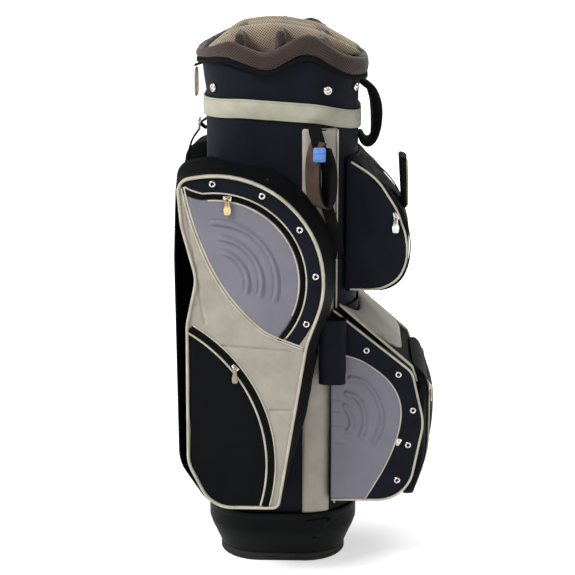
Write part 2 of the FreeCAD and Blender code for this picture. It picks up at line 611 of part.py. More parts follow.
def upper_pocket():
    shell = slab(UPPER, -UPPER_X, UPPER_X)
    room = slab(grown(UPPER, -POCKET_T), -UPPER_X + POCKET_T, UPPER_X - POCKET_T)
    save("upper_pocket", shell.cut(room).cut(tube_column(FIT)))
    u, z, r = UPPER_ARC
    x = -UPPER_X
    place = polar(u, z, r - 8, 26)
    save("upper_slider", moved(slider(x - FIT), *place, 26 - 90))
    save("upper_pull", moved(puller(x - 2 * FIT - SLIDER_T), *place))
    save("glove_tab", slab(TAB, -TAB_X, TAB_X))


def sleeve():
    height = SLEEVE_Z1 - SLEEVE_Z0
    outer = (SLEEVE_HALF_X, SLEEVE_HALF_U, SLEEVE_HALF_X - 0.5)
    inner = tuple(size - SLEEVE_T for size in outer)
    wall = column(*outer, 0, height).cut(column(*inner, SLEEVE_T, height))
    carrier = max(BALL_X + PIPE_OUT + FIT, TUBE_X + FIT + SPINE_T)
    wall.translate(vec(-carrier - FIT - SLEEVE_HALF_X, SLEEVE_U, SLEEVE_Z0))
    save("umbrella_sleeve", wall)


# ---- straps and hardware ---------------------------------------------------------------
def straps():
    handle = slab(strip(HANDLE_LINE, HANDLE_T), -HANDLE_W / 2, HANDLE_W / 2)
    keeper = block(-15, 15, TUBE_U, HANDLE_LINE[3][0], 732, 740)
    handle = handle.fuse(keeper)
    wall = funnel(collar_outline(COLLAR_FLARE_Z), COLLAR_FLARE_Z, collar_outline(900), 900)
    wall = wall.fuse(tube_column(0, 700, COLLAR_FLARE_Z))
    seat = tube_column(FIT + 1 + BAND_T + FIT, 700, 800)
    low_wall = tube_column(FIT, 600, 735)
    save("carry_handle", handle.cut(wall).cut(low_wall).cut(seat.common(slab(grown(BAND, 1), -200, 200))))

    strap = slab(strip(STRAP_LINE, STRAP_T), -STRAP_W / 2, STRAP_W / 2)
    wire = closed_wire(STRAP_SHAPE, lambda x, z: vec(x, -200, z))
    save("shoulder_strap", strap.common(Part.Face(wire).extrude(vec(0, 100, 0))))
    rings = []
    tabs = [block(-10, 10, RING_U - 3, -TUBE_U - 3, RING_TOP + RING_PLAY, RING_TOP + 9)]
    for z in (STRAP_TOP, STRAP_LOW - STRAP_RING_H):
        ring = block(-STRAP_RING_W / 2, STRAP_RING_W / 2, STRAP_U - STRAP_RING_T / 2,
                     STRAP_U + STRAP_RING_T / 2, z, z + STRAP_RING_H)
        hole = block(-STRAP_RING_W / 2 + 4, STRAP_RING_W / 2 - 4, STRAP_U - 5, STRAP_U + 5,
                     z + 4, z + STRAP_RING_H - 4)
        rings.append(ring.cut(hole))
        tabs.append(block(-13, 13, STRAP_U + STRAP_RING_T / 2 + FIT, -TUBE_U - FIT,
                          z + 2, z + STRAP_RING_H - 2))
    save("strap_rings", *rings)
    tabs[0] = tabs[0].cut(wall)
    x_in = -TUBE_X - 3 * FIT - SPINE_T
    x_hang = x_in - LOOP_W / 2 + HANG_T / 2
    tabs.append(block(x_hang + FIT, -TUBE_X / 2, LOOP_C[0] - 8, LOOP_C[0] + 8,
                      742, 751).cut(tube_column(2 * FIT + SPINE_T)))
    save("web_tabs", *tabs)
    mid = RING_TOP - RING_H / 2
    ring = rounded(RING_W / 2, RING_H / 2, 14)
    hoops = []
    for shape in (ring, grown(ring, -RING_T)):
        wire = closed_wire(shape, lambda x, z: vec(x, RING_U - RING_T / 2, mid + z))
        hoops.append(Part.Face(wire).extrude(vec(0, RING_T, 0)))
    save("towel_ring", hoops[0].cut(hoops[1]))

    oval = [(LOOP_C[0] + su * LOOP_U, LOOP_C[1] + sz * LOOP_Z, LOOP_U - 1)
            for su, sz in ((-1, -1), (1, -1), (1, 1), (-1, 1))]
    loop = slab(oval, x_in - LOOP_W, x_in).cut(slab(grown(oval, -LOOP_T), x_in - LOOP_W, x_in))
    hanger = block(x_hang - HANG_T, x_hang, LOOP_C[0] - 12, LOOP_C[0] + 12,
                   LOOP_C[1] + LOOP_Z - 1, 758)
    tail = slab(strip(TAIL_LINE, TAIL_W), x_in - 2.5, x_in)
    buckle = block(x_in - LOOP_W - 6, x_in - LOOP_W, 50, 74, 702, 728)
    save("umbrella_strap", loop.fuse(hanger).fuse(tail))
    save("umbrella_buckle", buckle)


# ---- build -----------------------------------------------------------------------------
os.makedirs("parts", exist_ok=True)
base()
tube()
collar()
snaps()
cuff()
dividers()
spine_and_back()
side_zips(side_pocket())
ball_pocket()
upper_pocket()
sleeve()
straps()
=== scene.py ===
import math

import bmesh
import bpy
import numpy as np
from mathutils import Matrix, Vector, noise
from mathutils.geometry import delaunay_2d_cdt


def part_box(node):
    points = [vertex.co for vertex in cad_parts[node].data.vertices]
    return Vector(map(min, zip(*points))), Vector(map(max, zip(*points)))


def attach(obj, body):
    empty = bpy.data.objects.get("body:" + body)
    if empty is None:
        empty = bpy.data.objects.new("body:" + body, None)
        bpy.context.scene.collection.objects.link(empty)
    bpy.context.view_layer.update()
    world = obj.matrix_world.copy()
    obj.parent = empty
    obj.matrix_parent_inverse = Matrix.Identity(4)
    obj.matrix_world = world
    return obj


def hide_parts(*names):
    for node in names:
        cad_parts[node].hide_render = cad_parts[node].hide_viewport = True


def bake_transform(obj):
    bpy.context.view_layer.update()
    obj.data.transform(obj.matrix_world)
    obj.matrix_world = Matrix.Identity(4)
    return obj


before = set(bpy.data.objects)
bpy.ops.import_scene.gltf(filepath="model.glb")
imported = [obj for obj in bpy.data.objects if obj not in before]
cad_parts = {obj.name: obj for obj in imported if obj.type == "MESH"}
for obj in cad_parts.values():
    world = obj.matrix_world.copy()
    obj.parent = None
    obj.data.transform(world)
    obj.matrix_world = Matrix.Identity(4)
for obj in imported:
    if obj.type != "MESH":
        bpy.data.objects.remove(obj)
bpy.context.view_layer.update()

# Sizes are in millimetres, and the frame's metres are made by at().  Side views are drawn
# in u and z: u points forward (-Y), and the left side of the bag is -X.
MM = 0.001
SIDES = {"left": -1, "right": 1}


def size_mm(node):
    low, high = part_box(node)
    return Vector(low) / MM, Vector(high) / MM


def half_x(node):
    return size_mm(node)[1].x


def half_u(node):
    low, high = size_mm(node)
    return (high.y - low.y) / 2


# ---- sizes shared with the frame -------------------------------------------------------
TUBE_X, TUBE_U, TUBE_R = half_x("tube_cover"), half_u("tube_cover"), 86.0
CUFF_X, CUFF_U, CUFF_R, CUFF_T = half_x("cuff_pad"), half_u("cuff_pad"), 100.0, 14.0
SOLE_TOP = size_mm("sole")[1].z
BASE_TOP = size_mm("base_cup")[1].z
COLLAR_Z = size_mm("collar")[0].z
BAR_Z = size_mm("long_bars")[0].z
POCKET_X = -size_mm("left_gusset")[0].x
FACE_X = -size_mm("left_panel")[0].x          # outside of the padded face panels
CLOTH_X = -size_mm("left_door")[0].x          # outside of the cloth laid on them
BALL_X = half_x("ball_shell")
UPPER_X = half_x("upper_pocket")
ARC_U, ARC_Z, ARC_R = -100.0, 520.0, 172.0
LOW_U, LOW_Z = -281.0, 215.0
LOW_CUT, LOW_ZIP = 260.6, 267.5         # radii of the lower pocket's face and of its zip
BALL_NOSE, CROWN_R = 258.0, 296.0
LINER_TOP = size_mm("tube_liner")[1].z

TRIM_LINE = [(-160, 846, 0), (-92, 859, 40), (-18, 838, 30), (42, 869, 40),
    (110, 829, 60), (160, 822, 0)]
RIM_LINE = [(-160, 858, 0), (-84, 891, 30), (-24, 873, 30), (46, 905, 30),
    (100, 868, 50), (160, 850, 0)]
BAR_LINE = [(-160, 832, 0), (-72, 904, 50), (-10, 913, 200), (58, 900, 60), (160, 846, 0)]
BAND_TOP = [(-160, 790, 0), (-60, 798, 200), (60, 790, 200), (160, 762, 0)]
BAND_LOW = [(-160, 760, 0), (-60, 768, 200), (60, 760, 200), (160, 734, 0)]
PANEL_LEFT = [(-112, 136, 55), (-150, 215, 70), (-148, 450, 80), (-132, 525, 60),
    (-154, 610, 80), (-160, 684, 22)]
GUSSET_LEFT = [(-112, 136, 55), (-163, 215, 70), (-165, 560, 300), (-160, 684, 22)]
ARC_REACH = ARC_R / math.cos(math.radians(30))
SIDE_ARC = [(ARC_U + ARC_REACH * math.cos(math.radians(a)),
    ARC_Z + ARC_REACH * math.sin(math.radians(a)), ARC_R - 4) for a in (70, 10)]
SIDE_FRONT = SIDE_ARC + [(46, 418, 150), (0, 136, 14)]
DIAGONAL = [(-149, 684), (-140, 641), (-127, 598), (-107, 548), (-85, 509), (-61, 477),
    (-27, 443), (-3, 430), (33, 416), (47, 411)]
HINGE_A, HINGE_B = (-147.0, 683.0), (40.0, 413.0)
BALL_SIDE = [(82, 459.6, 3), (217, 351, 14), (238, 262, 90), (207, 122, 28), (82, 122, 3)]
BALL_VIEW = BALL_SIDE[:1] + [(217, 351, 30), (238, 262, 90), (212, 122, 62), (82, 122, 3)]
BALL_GREY = [(82, 384), (102, 379), (130, 370), (154, 355), (176, 336), (191, 313), (198, 288),
    (197, 258), (189, 225), (177, 193), (161, 161), (141, 126)]
UPPER = [(104, 704, 3), (128, 691, 40), (206, 600, 90), (206, 482, 48), (104, 480, 3)]
UPPER_PIPE = [(112, 694), (140, 676), (159, 658), (173, 637), (186, 616), (194, 595), (201, 574),
    (204, 548), (201, 524), (190, 502), (170, 488), (147, 483), (112, 483)]
HANDLE_LINE = [(124, 814), (143, 801), (152, 775), (153, 742), (149, 720), (140, 710), (131, 715),
    (125, 729)]
STRAP_LINE = [(-137, 742), (-141, 726), (-152, 706), (-160, 660), (-162, 590), (-161, 520),
    (-155, 400), (-143, 350), (-137, 328)]


# ---- points and outlines ---------------------------------------------------------------
def at(x, u, z):
    return Vector((x * MM, -u * MM, z * MM))


def polar(cu, cz, r, degrees):
    angle = math.radians(degrees)
    return cu + r * math.cos(angle), cz + r * math.sin(angle)


def arc(cu, cz, r, start, end, step=3.0):
    count = max(2, int(abs(math.radians(end - start)) * r / step))
    return [polar(cu, cz, r, start + (end - start) * i / count) for i in range(count + 1)]


def grown(points, d):
    """Move each edge of a cornered outline outwards by d."""
    area = sum(a[0] * b[1] - b[0] * a[1] for a, b in zip(points, points[1:] + points[:1]))
    turn = 1 if area > 0 else -1
    result = []
    for before, here, after in zip(points[-1:] + points[:-1], points, points[1:] + points[:1]):
        a = (here[0] - before[0], here[1] - before[1])
        b = (after[0] - here[0], after[1] - here[1])
        la, lb = math.hypot(*a), math.hypot(*b)
        na = (turn * a[1] / la, -turn * a[0] / la)
        nb = (turn * b[1] / lb, -turn * b[0] / lb)
        scale = d / (1 + na[0] * nb[0] + na[1] * nb[1])
        convex = turn * (a[0] * b[1] - a[1] * b[0]) > 0
        radius = here[2] + d if convex else here[2] - d
        result.append((here[0] + scale * (na[0] + nb[0]),
            here[1] + scale * (na[1] + nb[1]), max(radius, 0.5)))
    return result


def rounded(points, closed=True, per_corner=10):
    """Sample a cornered outline: each corner (a, b, radius) gives the same number of points."""
    result = []
    last = len(points) - 1
    for i, here in enumerate(points):
        if not here[2] or (not closed and i in (0, last)):
            result.append((here[0], here[1]))
            continue
        before, after = points[i - 1], points[(i + 1) % len(points)]
        a = Vector((before[0] - here[0], before[1] - here[1])).normalized()
        b = Vector((after[0] - here[0], after[1] - here[1])).normalized()
        half = math.acos(max(-1, min(1, a.dot(b)))) / 2
        centre = Vector(here[:2]) + (a + b).normalized() * here[2] / math.sin(half)
        start = Vector(here[:2]) + a * here[2] / math.tan(half) - centre
        end = Vector(here[:2]) + b * here[2] / math.tan(half) - centre
        sweep = math.atan2(start.x * end.y - start.y * end.x, start.dot(end))
        for k in range(per_corner + 1):
            angle = sweep * k / per_corner
            result.append((centre.x + start.x * math.cos(angle) - start.y * math.sin(angle),
                centre.y + start.x * math.sin(angle) + start.y * math.cos(angle)))
    return result


def even(points, step, closed=False, count=None):
    """Evenly spaced points along a line of 2-D or 3-D points."""
    line = [np.array(p, float) for p in points]
    if closed:
        line.append(line[0])
    lengths = [0.0]
    for a, b in zip(line, line[1:]):
        lengths.append(lengths[-1] + float(np.linalg.norm(b - a)))
    count = count or max(2, round(lengths[-1] / step))
    wanted = np.linspace(0, lengths[-1], count + 1)[:count if closed else count + 1]
    table = np.array(line)
    return [tuple(float(np.interp(w, lengths, table[:, k])) for k in range(table.shape[1]))
        for w in wanted]


def smooth_line(points, per_span=8):
    """A Catmull-Rom curve through the points."""
    result = []
    ends = [points[0]] + list(points) + [points[-1]]
    for p0, p1, p2, p3 in zip(ends, ends[1:], ends[2:], ends[3:]):
        for k in range(per_span):
            t = k / per_span
            result.append(tuple(0.5 * (2 * b + (c - a) * t + (2 * a - 5 * b + 4 * c - d) * t ** 2
                + (3 * b - a - 3 * c + d) * t ** 3) for a, b, c, d in zip(p0, p1, p2, p3)))
    return result + [tuple(points[-1])]


def height_of(line):
    """A function z(u) from a cornered line that runs across the bag."""
    points = rounded(line, closed=False)
    us = [p[0] for p in points]
    zs = [p[1] for p in points]
    return lambda u: float(np.interp(u, us, zs))


def plan_ring(hx, hu, r, straight=10, turn=16):
    """A rounded rectangle in plan as (x, u, outward x, outward u), the same count each time."""
    result = []
    for q, (sx, su) in enumerate(((1, 1), (-1, 1), (-1, -1), (1, -1))):
        cx, cu = sx * (hx - r), su * (hu - r)
        for k in range(turn):
            angle = math.radians(90 * q + 90 * k / turn)
            n = (math.cos(angle), math.sin(angle))
            result.append((cx + r * n[0], cu + r * n[1], n[0], n[1]))
        angle = math.radians(90 * (q + 1))
        n = (math.cos(angle), math.sin(angle))
        nx, nu = ((-1, 1), (-1, -1), (1, -1), (1, 1))[q]
        end = (nx * (hx - r) + r * n[0], nu * (hu - r) + r * n[1])
        start = (cx + r * n[0], cu + r * n[1])
        for k in range(straight):
            t = k / straight
            result.append((start[0] + (end[0] - start[0]) * t, start[1] + (end[1] - start[1]) * t,
                n[0], n[1]))
    return result


def wall_at(u, d=0.0):
    """The tube's left wall at u, grown by d: its x and its outward direction (x, u)."""
    flat = TUBE_U - TUBE_R
    side = TUBE_X - TUBE_R
    if abs(u) <= flat:
        return -(TUBE_X + d), (-1.0, 0.0)
    over = (abs(u) - flat) * math.copysign(1, u)
    reach = TUBE_R + d
    across = math.sqrt(max(reach ** 2 - over ** 2, 0))
    return -(side + across), (-across / reach, over / reach)


# ---- materials -------------------------------------------------------------------------
def linear(code):
    """An sRGB hex colour as linear RGBA."""
    values = [int(code[i:i + 2], 16) / 255 for i in (1, 3, 5)]
    return [v / 12.92 if v <= 0.04045 else ((v + 0.055) / 1.055) ** 2.4 for v in values] + [1.0]


def add(tree, kind, inputs=None, **settings):
    """Add a node with its settings, and give its inputs values or links."""
    node = tree.nodes.new(kind)
    for key, value in settings.items():
        setattr(node, key, value)
    for key, value in (inputs or {}).items():
        if isinstance(value, bpy.types.NodeSocket):
            tree.links.new(value, node.inputs[key])
        else:
            node.inputs[key].default_value = value
    return node


MIX_A, MIX_B, MIX_COLOUR = 6, 7, 2          # a colour Mix node's sockets


def new_material(name):
    material = bpy.data.materials.new(name)
    material.use_nodes = True
    tree = material.node_tree
    tree.nodes.clear()
    return material, tree


def close_material(tree, colour, height, bump_mm, **shader):
    """Surface and output of a material, with its height in millimetres as bump."""
    bump = add(tree, "ShaderNodeBump", {"Height": height, "Distance": bump_mm * MM,
        "Strength": 1.0})
    inputs = {"Base Color": colour, "Normal": bump.outputs["Normal"]}
    inputs.update({key.replace("_", " "): value for key, value in shader.items()})
    surface = add(tree, "ShaderNodeBsdfPrincipled", inputs)
    add(tree, "ShaderNodeOutputMaterial", {"Surface": surface.outputs["BSDF"]})


def blotches(tree, light, dark, size, amount=1.0):
    """Uneven dye, wear or dirt: two colours mixed by soft noise on the object."""
    where = add(tree, "ShaderNodeTexCoord").outputs["Object"]
    cloud = add(tree, "ShaderNodeTexNoise", {"Vector": where, "Scale": 1000 / size,
        "Detail": 4.0, "Roughness": 0.6})
    spread = add(tree, "ShaderNodeMapRange", {"Value": cloud.outputs["Fac"], "From Min": 0.35,
        "From Max": 0.7, "To Max": amount})
    return add(tree, "ShaderNodeMix", {0: spread.outputs["Result"], MIX_A: linear(light),
        MIX_B: linear(dark)}, data_type="RGBA").outputs[MIX_COLOUR]


def woven(name, light, dark, pitch_mm, bump_mm, roughness, sheen=0.0, wear=60, turn=0.0):
    """Woven or knitted cloth: crossing threads on its UV map, which is in metres."""
    material, tree = new_material(name)
    where = add(tree, "ShaderNodeTexCoord").outputs["UV"]
    turned = add(tree, "ShaderNodeMapping", {"Vector": where, "Rotation": (0, 0, turn)})
    split = add(tree, "ShaderNodeSeparateXYZ", {"Vector": turned.outputs["Vector"]})
    waves = []
    for axis in ("X", "Y"):
        phase = add(tree, "ShaderNodeMath", {0: split.outputs[axis],
            1: math.pi / (pitch_mm * MM)}, operation="MULTIPLY")
        waves.append(add(tree, "ShaderNodeMath", {0: phase.outputs[0]}, operation="SINE"))
    crossed = add(tree, "ShaderNodeMath", {0: waves[0].outputs[0], 1: waves[1].outputs[0]},
        operation="MULTIPLY")
    height = add(tree, "ShaderNodeMath", {0: crossed.outputs[0]}, operation="ABSOLUTE").outputs[0]
    # painted shade and highlight: the colour is darker in the hollows between threads and lighter
    # on their tops
    shade = add(tree, "ShaderNodeMapRange", {"Value": height, "To Min": 0.72, "To Max": 1.15})
    dyed = blotches(tree, light, dark, wear)
    colour = add(tree, "ShaderNodeMix", {0: 1.0, MIX_A: dyed, MIX_B: shade.outputs["Result"]},
        data_type="RGBA", blend_type="MULTIPLY").outputs[MIX_COLOUR]
    close_material(tree, colour, height, bump_mm, Roughness=roughness, Sheen_Weight=sheen,
        Sheen_Roughness=0.5, Specular_IOR_Level=0.08)
    return material


def spacer_mesh(name, thread, worn, hole, cell_mm):
    """Knitted spacer mesh: small round holes in slanted rows between thick soft threads; the hole
    colour is painted shade inside the holes.
    """
    material, tree = new_material(name)
    where = add(tree, "ShaderNodeTexCoord").outputs["UV"]
    turned = add(tree, "ShaderNodeMapping", {"Vector": where, "Rotation": (0, 0, math.pi / 5),
        "Scale": (1 / (cell_mm * MM),) * 3})
    cells = add(tree, "ShaderNodeTexVoronoi", {"Vector": turned.outputs["Vector"], "Scale": 1.0,
        "Randomness": 0.0})
    edge = add(tree, "ShaderNodeMapRange", {"Value": cells.outputs["Distance"], "From Min": 0.2,
        "From Max": 0.46}, interpolation_type="SMOOTHSTEP")
    dyed = blotches(tree, thread, worn, 50)
    # painted shade: the dark hole colour stands in for the shade inside the mesh's holes
    colour = add(tree, "ShaderNodeMix", {0: edge.outputs["Result"], MIX_A: linear(hole),
        MIX_B: dyed}, data_type="RGBA").outputs[MIX_COLOUR]
    close_material(tree, colour, edge.outputs["Result"], 0.8, Roughness=0.85, Sheen_Weight=0.25,
        Specular_IOR_Level=0.2)
    return material


def grained(name, light, dark, grain_mm, bump_mm, roughness, wear=45, amount=1.0, coat=0.0,
        shine=0.3):
    """Leathercloth, moulded plastic or rubber: a fine pebbled grain under patchy colour."""
    material, tree = new_material(name)
    where = add(tree, "ShaderNodeTexCoord").outputs["Object"]
    grain = add(tree, "ShaderNodeTexVoronoi", {"Vector": where, "Scale": 1000 / grain_mm})
    fine = add(tree, "ShaderNodeTexNoise", {"Vector": where, "Scale": 400 / grain_mm,
        "Detail": 3.0})
    height = add(tree, "ShaderNodeMath", {0: grain.outputs["Distance"], 1: fine.outputs["Fac"]},
        operation="ADD").outputs[0]
    close_material(tree, blotches(tree, light, dark, wear, amount), height, bump_mm,
        Roughness=roughness, Coat_Weight=coat, Coat_Roughness=0.3, Specular_IOR_Level=shine)
    return material


def metal(name, light, dark, roughness):
    """Plated die-cast metal: bright, with slightly uneven polish."""
    material, tree = new_material(name)
    where = add(tree, "ShaderNodeTexCoord").outputs["Object"]
    fine = add(tree, "ShaderNodeTexNoise", {"Vector": where, "Scale": 900.0, "Detail": 3.0})
    polish = add(tree, "ShaderNodeMapRange", {"Value": fine.outputs["Fac"],
        "To Min": roughness * 0.7, "To Max": roughness * 1.4})
    close_material(tree, blotches(tree, light, dark, 6), fine.outputs["Fac"], 0.03, Metallic=1.0,
        Roughness=polish.outputs["Result"])
    return material


FINISHES = {
    # Nylon oxford cloth: a tight basket weave, dull with a faint sheen where it turns away.
    "navy_nylon": (woven, "#141822", "#0c1018", 1.2, 0.2, 0.6, 0.02),
    "black_nylon": (woven, "#090a0d", "#050607", 1.2, 0.2, 0.65, 0.005),
    # Polyester webbing: thick ribs across, matt.
    "black_webbing": (woven, "#161515", "#0d0d0e", 1.8, 0.4, 0.8, 0.03, 30),
    "brown_webbing": (woven, "#5d4a41", "#46372f", 1.8, 0.4, 0.8, 0.1, 30),
    "black_tape": (woven, "#101011", "#09090a", 0.9, 0.1, 0.75, 0.0, 20),
    # Knitted spacer mesh on foam; the third colour of each is painted shade down in its holes.
    "brown_mesh": (spacer_mesh, "#4d3b36", "#3e2f2a", "#0c0807", 3.2),
    "tan_mesh": (spacer_mesh, "#b9aa92", "#a2937c", "#4c4033", 3.2),
    # Polyurethane leathercloth: fine pebble grain, dulled and a little soiled by handling.
    "beige_leathercloth": (grained, "#aca69b", "#9b958a", 1.1, 0.14, 0.5),
    "band_leathercloth": (grained, "#b2b1a0", "#9c9984", 1.1, 0.14, 0.5),
    "cream_piping": (grained, "#cac5b4", "#aea690", 0.8, 0.05, 0.42, 30, 1.0, 0.1),
    "tan_piping": (grained, "#aba28f", "#938976", 0.8, 0.05, 0.45, 30, 1.0, 0.1),
    "grey_moulded": (grained, "#7b7a85", "#71707b", 0.9, 0.07, 0.42, 110),
    # Injection-moulded polypropylene and ABS.
    "black_plastic": (grained, "#08090b", "#050608", 0.8, 0.05, 0.55, 50, 1.0, 0.0,
                             0.08),
    "liner_plastic": (grained, "#2b2b2d", "#222224", 1.0, 0.05, 0.5, 80),
    "taupe_plastic": (grained, "#b0a08c", "#958571", 0.9, 0.05, 0.4, 20),
    "blue_plastic": (grained, "#6d9be2", "#5f8ad2", 0.8, 0.03, 0.35, 12),
    "black_rubber": (grained, "#282523", "#1b1918", 1.0, 0.1, 0.75, 40),
    # Nickel-plated steel, and brushed pale gold on zinc.
    "bright_metal": (metal, "#d8d6d0", "#a9a6a0", 0.25),
    "pale_gold": (metal, "#d9bd8c", "#b1915f", 0.35),
}
MATERIALS = {name: make(name, *values) for name, (make, *values) in FINISHES.items()}

# Material, body and slot of the pieces that are fixed to the bag
BLACK_CLOTH = ("black_nylon", "bag", "black_cloth")
NAVY_CLOTH = ("navy_nylon", "bag", "navy_cloth")
BLACK_WEBBING = ("black_webbing", "bag", "black_webbing")
BLACK_TAPE = ("black_tape", "bag", "black_webbing")
CREAM_PIPING = ("cream_piping", "bag", "cream_piping")
BEIGE = ("beige_leathercloth", "bag", "beige_leathercloth")
BLACK_PLASTIC = ("black_plastic", "bag", "black_plastic")
BRIGHT = ("bright_metal", "bag", "bright_metal")


# ---- meshes ----------------------------------------------------------------------------
def piece(name, verts, faces, material, body, slot, stands_for=(), uvs=None, smooth=True):
    """A finished piece: its mesh in metres at the origin, its material and body; its slot is not
    used.
    """
    mesh = bpy.data.meshes.new(name)
    mesh.from_pydata([tuple(v) for v in verts], [], faces)
    mesh.update()
    if uvs is not None:
        layer = mesh.uv_layers.new(name="UVMap")
        index = np.empty(len(mesh.loops), np.int32)
        mesh.loops.foreach_get("vertex_index", index)
        layer.data.foreach_set("uv", np.array(uvs, np.float32)[index].ravel())
    tidy = bmesh.new()
    tidy.from_mesh(mesh)
    bmesh.ops.recalc_face_normals(tidy, faces=tidy.faces)
    tidy.to_mesh(mesh)
    tidy.free()
    mesh.materials.append(MATERIALS[material])
    mesh.polygons.foreach_set("use_smooth", [smooth] * len(mesh.polygons))
    obj = bpy.data.objects.new(name, mesh)
    bpy.context.scene.collection.objects.link(obj)
    settle(obj, body, slot, stands_for)
    return obj


def settle(obj, body, slot, stands_for=()):
    if body:                     # a piece with no body is left unattached
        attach(obj, body)
    if stands_for:
        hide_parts(*stands_for)


def join(name, parts, body, slot, stands_for=()):
    """Join several meshes into one piece."""
    for part in parts:
        part.parent = None
    with bpy.context.temp_override(active_object=parts[0], selected_editable_objects=parts,
            object=parts[0], selected_objects=parts):
        bpy.ops.object.join()
    parts[0].name = name
    parts[0].data.name = name
    settle(parts[0], body, slot, stands_for)
    return parts[0]


def skin(rings, closed=True, caps=(True, True)):
    """Quads between rings of points, with the UVs in metres along and across."""
    count = len(rings[0])
    verts = [v for ring in rings for v in ring]
    uvs = []
    across = 0.0
    for k, ring in enumerate(rings):
        if k:
            across += sum((a - b).length for a, b in zip(ring, rings[k - 1])) / count
        along = 0.0
        for i, v in enumerate(ring):
            if i:
                along += (v - ring[i - 1]).length
            uvs.append((along, across))
    faces = []
    spans = count if closed else count - 1
    for k in range(len(rings) - 1):
        for i in range(spans):
            j = (i + 1) % count
            faces.append((k * count + i, k * count + j, (k + 1) * count + j, (k + 1) * count + i))
    if caps[0]:
        faces.append(tuple(reversed(range(count))))
    if caps[1]:
        faces.append(tuple(range((len(rings) - 1) * count, len(rings) * count)))
    return verts, faces, uvs


def loop_skin(rings):
    """Rings joined in a closed torus, such as a hoop of cloth with an inside and an outside."""
    verts, faces, uvs = skin(rings, True, (False, False))
    count, last = len(rings[0]), (len(rings) - 1) * len(rings[0])
    for i in range(count):
        j = (i + 1) % count
        faces.append((last + i, last + j, j, i))
    return verts, faces, uvs


def sweep(path, section, closed=False, normals=None, scale=None):
    """Rings of a section (across, out) carried along a path of Vectors in metres."""
    rings = []
    count = len(path)
    before = None
    for i, p in enumerate(path):
        a = path[(i - 1) % count] if closed or i else path[0]
        b = path[(i + 1) % count] if closed or i < count - 1 else path[-1]
        tangent = (b - a).normalized()
        if normals:
            out = (normals[i] - tangent * normals[i].dot(tangent)).normalized()
        else:
            guess = before or (Vector((0, 0, 1)) if abs(tangent.z) < 0.9 else Vector((1, 0, 0)))
            out = (guess - tangent * guess.dot(tangent)).normalized()
            before = out
        side = tangent.cross(out)
        k = scale(i / (count - 1)) if scale else 1.0
        rings.append([p + (side * s * k + out * o * k) * MM for s, o in section])
    return rings


def circle(radius, count=10):
    return [(radius * math.cos(2 * math.pi * k / count), radius * math.sin(2 * math.pi * k / count))
        for k in range(count)]


def oblong(width, thick, r, per_corner=3):
    """A rounded flat section, width across and thick outwards, centred."""
    w, t = width / 2, thick / 2
    return rounded([(-w, -t, r), (w, -t, r), (w, t, r), (-w, t, r)], per_corner=per_corner)


def pipe(name, points, radius, material, body, slot, closed=False, stands_for=(), step=3.0,
        out=None):
    """A round cord or piping along points (x, u, z); a flat loop gives its plane's normal."""
    path = [at(*p) for p in even(points, step, closed)]
    outs = [Vector(out)] * len(path) if out else None
    rings = sweep(path, circle(radius), closed, outs)
    verts, faces, uvs = loop_skin(rings) if closed else skin(rings)
    return piece(name, verts, faces, material, body, slot, stands_for, uvs)


def ribbon(name, points, normals, section, material, body, slot, closed=False, stands_for=(),
        scale=None):
    """A flat strap along points (x, u, z), its face turned to the given normals (x, u, z)."""
    path = [at(*p) for p in points]
    outs = [at(*n).normalized() for n in normals]
    rings = sweep(path, section, closed, outs, scale)
    if closed:
        verts, faces, uvs = loop_skin(rings)
    else:
        verts, faces, uvs = skin(rings)
    uvs = [(v, u) for u, v in uvs]
    return piece(name, verts, faces, material, body, slot, stands_for, uvs)


def inside(points, loop):
    """Which of the points lie inside a loop, by counting crossings."""
    a = np.array(loop)
    b = np.roll(a, -1, axis=0)
    x, y = points[:, :1], points[:, 1:]
    cross = (a[:, 1] > y) != (b[:, 1] > y)
    with np.errstate(divide="ignore", invalid="ignore"):
        at_x = (b[:, 0] - a[:, 0]) * (y - a[:, 1]) / (b[:, 1] - a[:, 1]) + a[:, 0]
    return (cross & (x < at_x)).sum(1) % 2 == 1


def distance(points, line, closed=False):
    """Distance of each point to a line of points."""
    a = np.array(line, float)
    b = np.roll(a, -1, axis=0) if closed else a[1:]
    a = a if closed else a[:-1]
    best = np.full(len(points), 1e9)
    for p, q in zip(a, b):
        d = q - p
        t = np.clip(((points - p) @ d) / max(d @ d, 1e-9), 0, 1)
        best = np.minimum(best, np.hypot(*(points - p - t[:, None] * d).T))
    return best


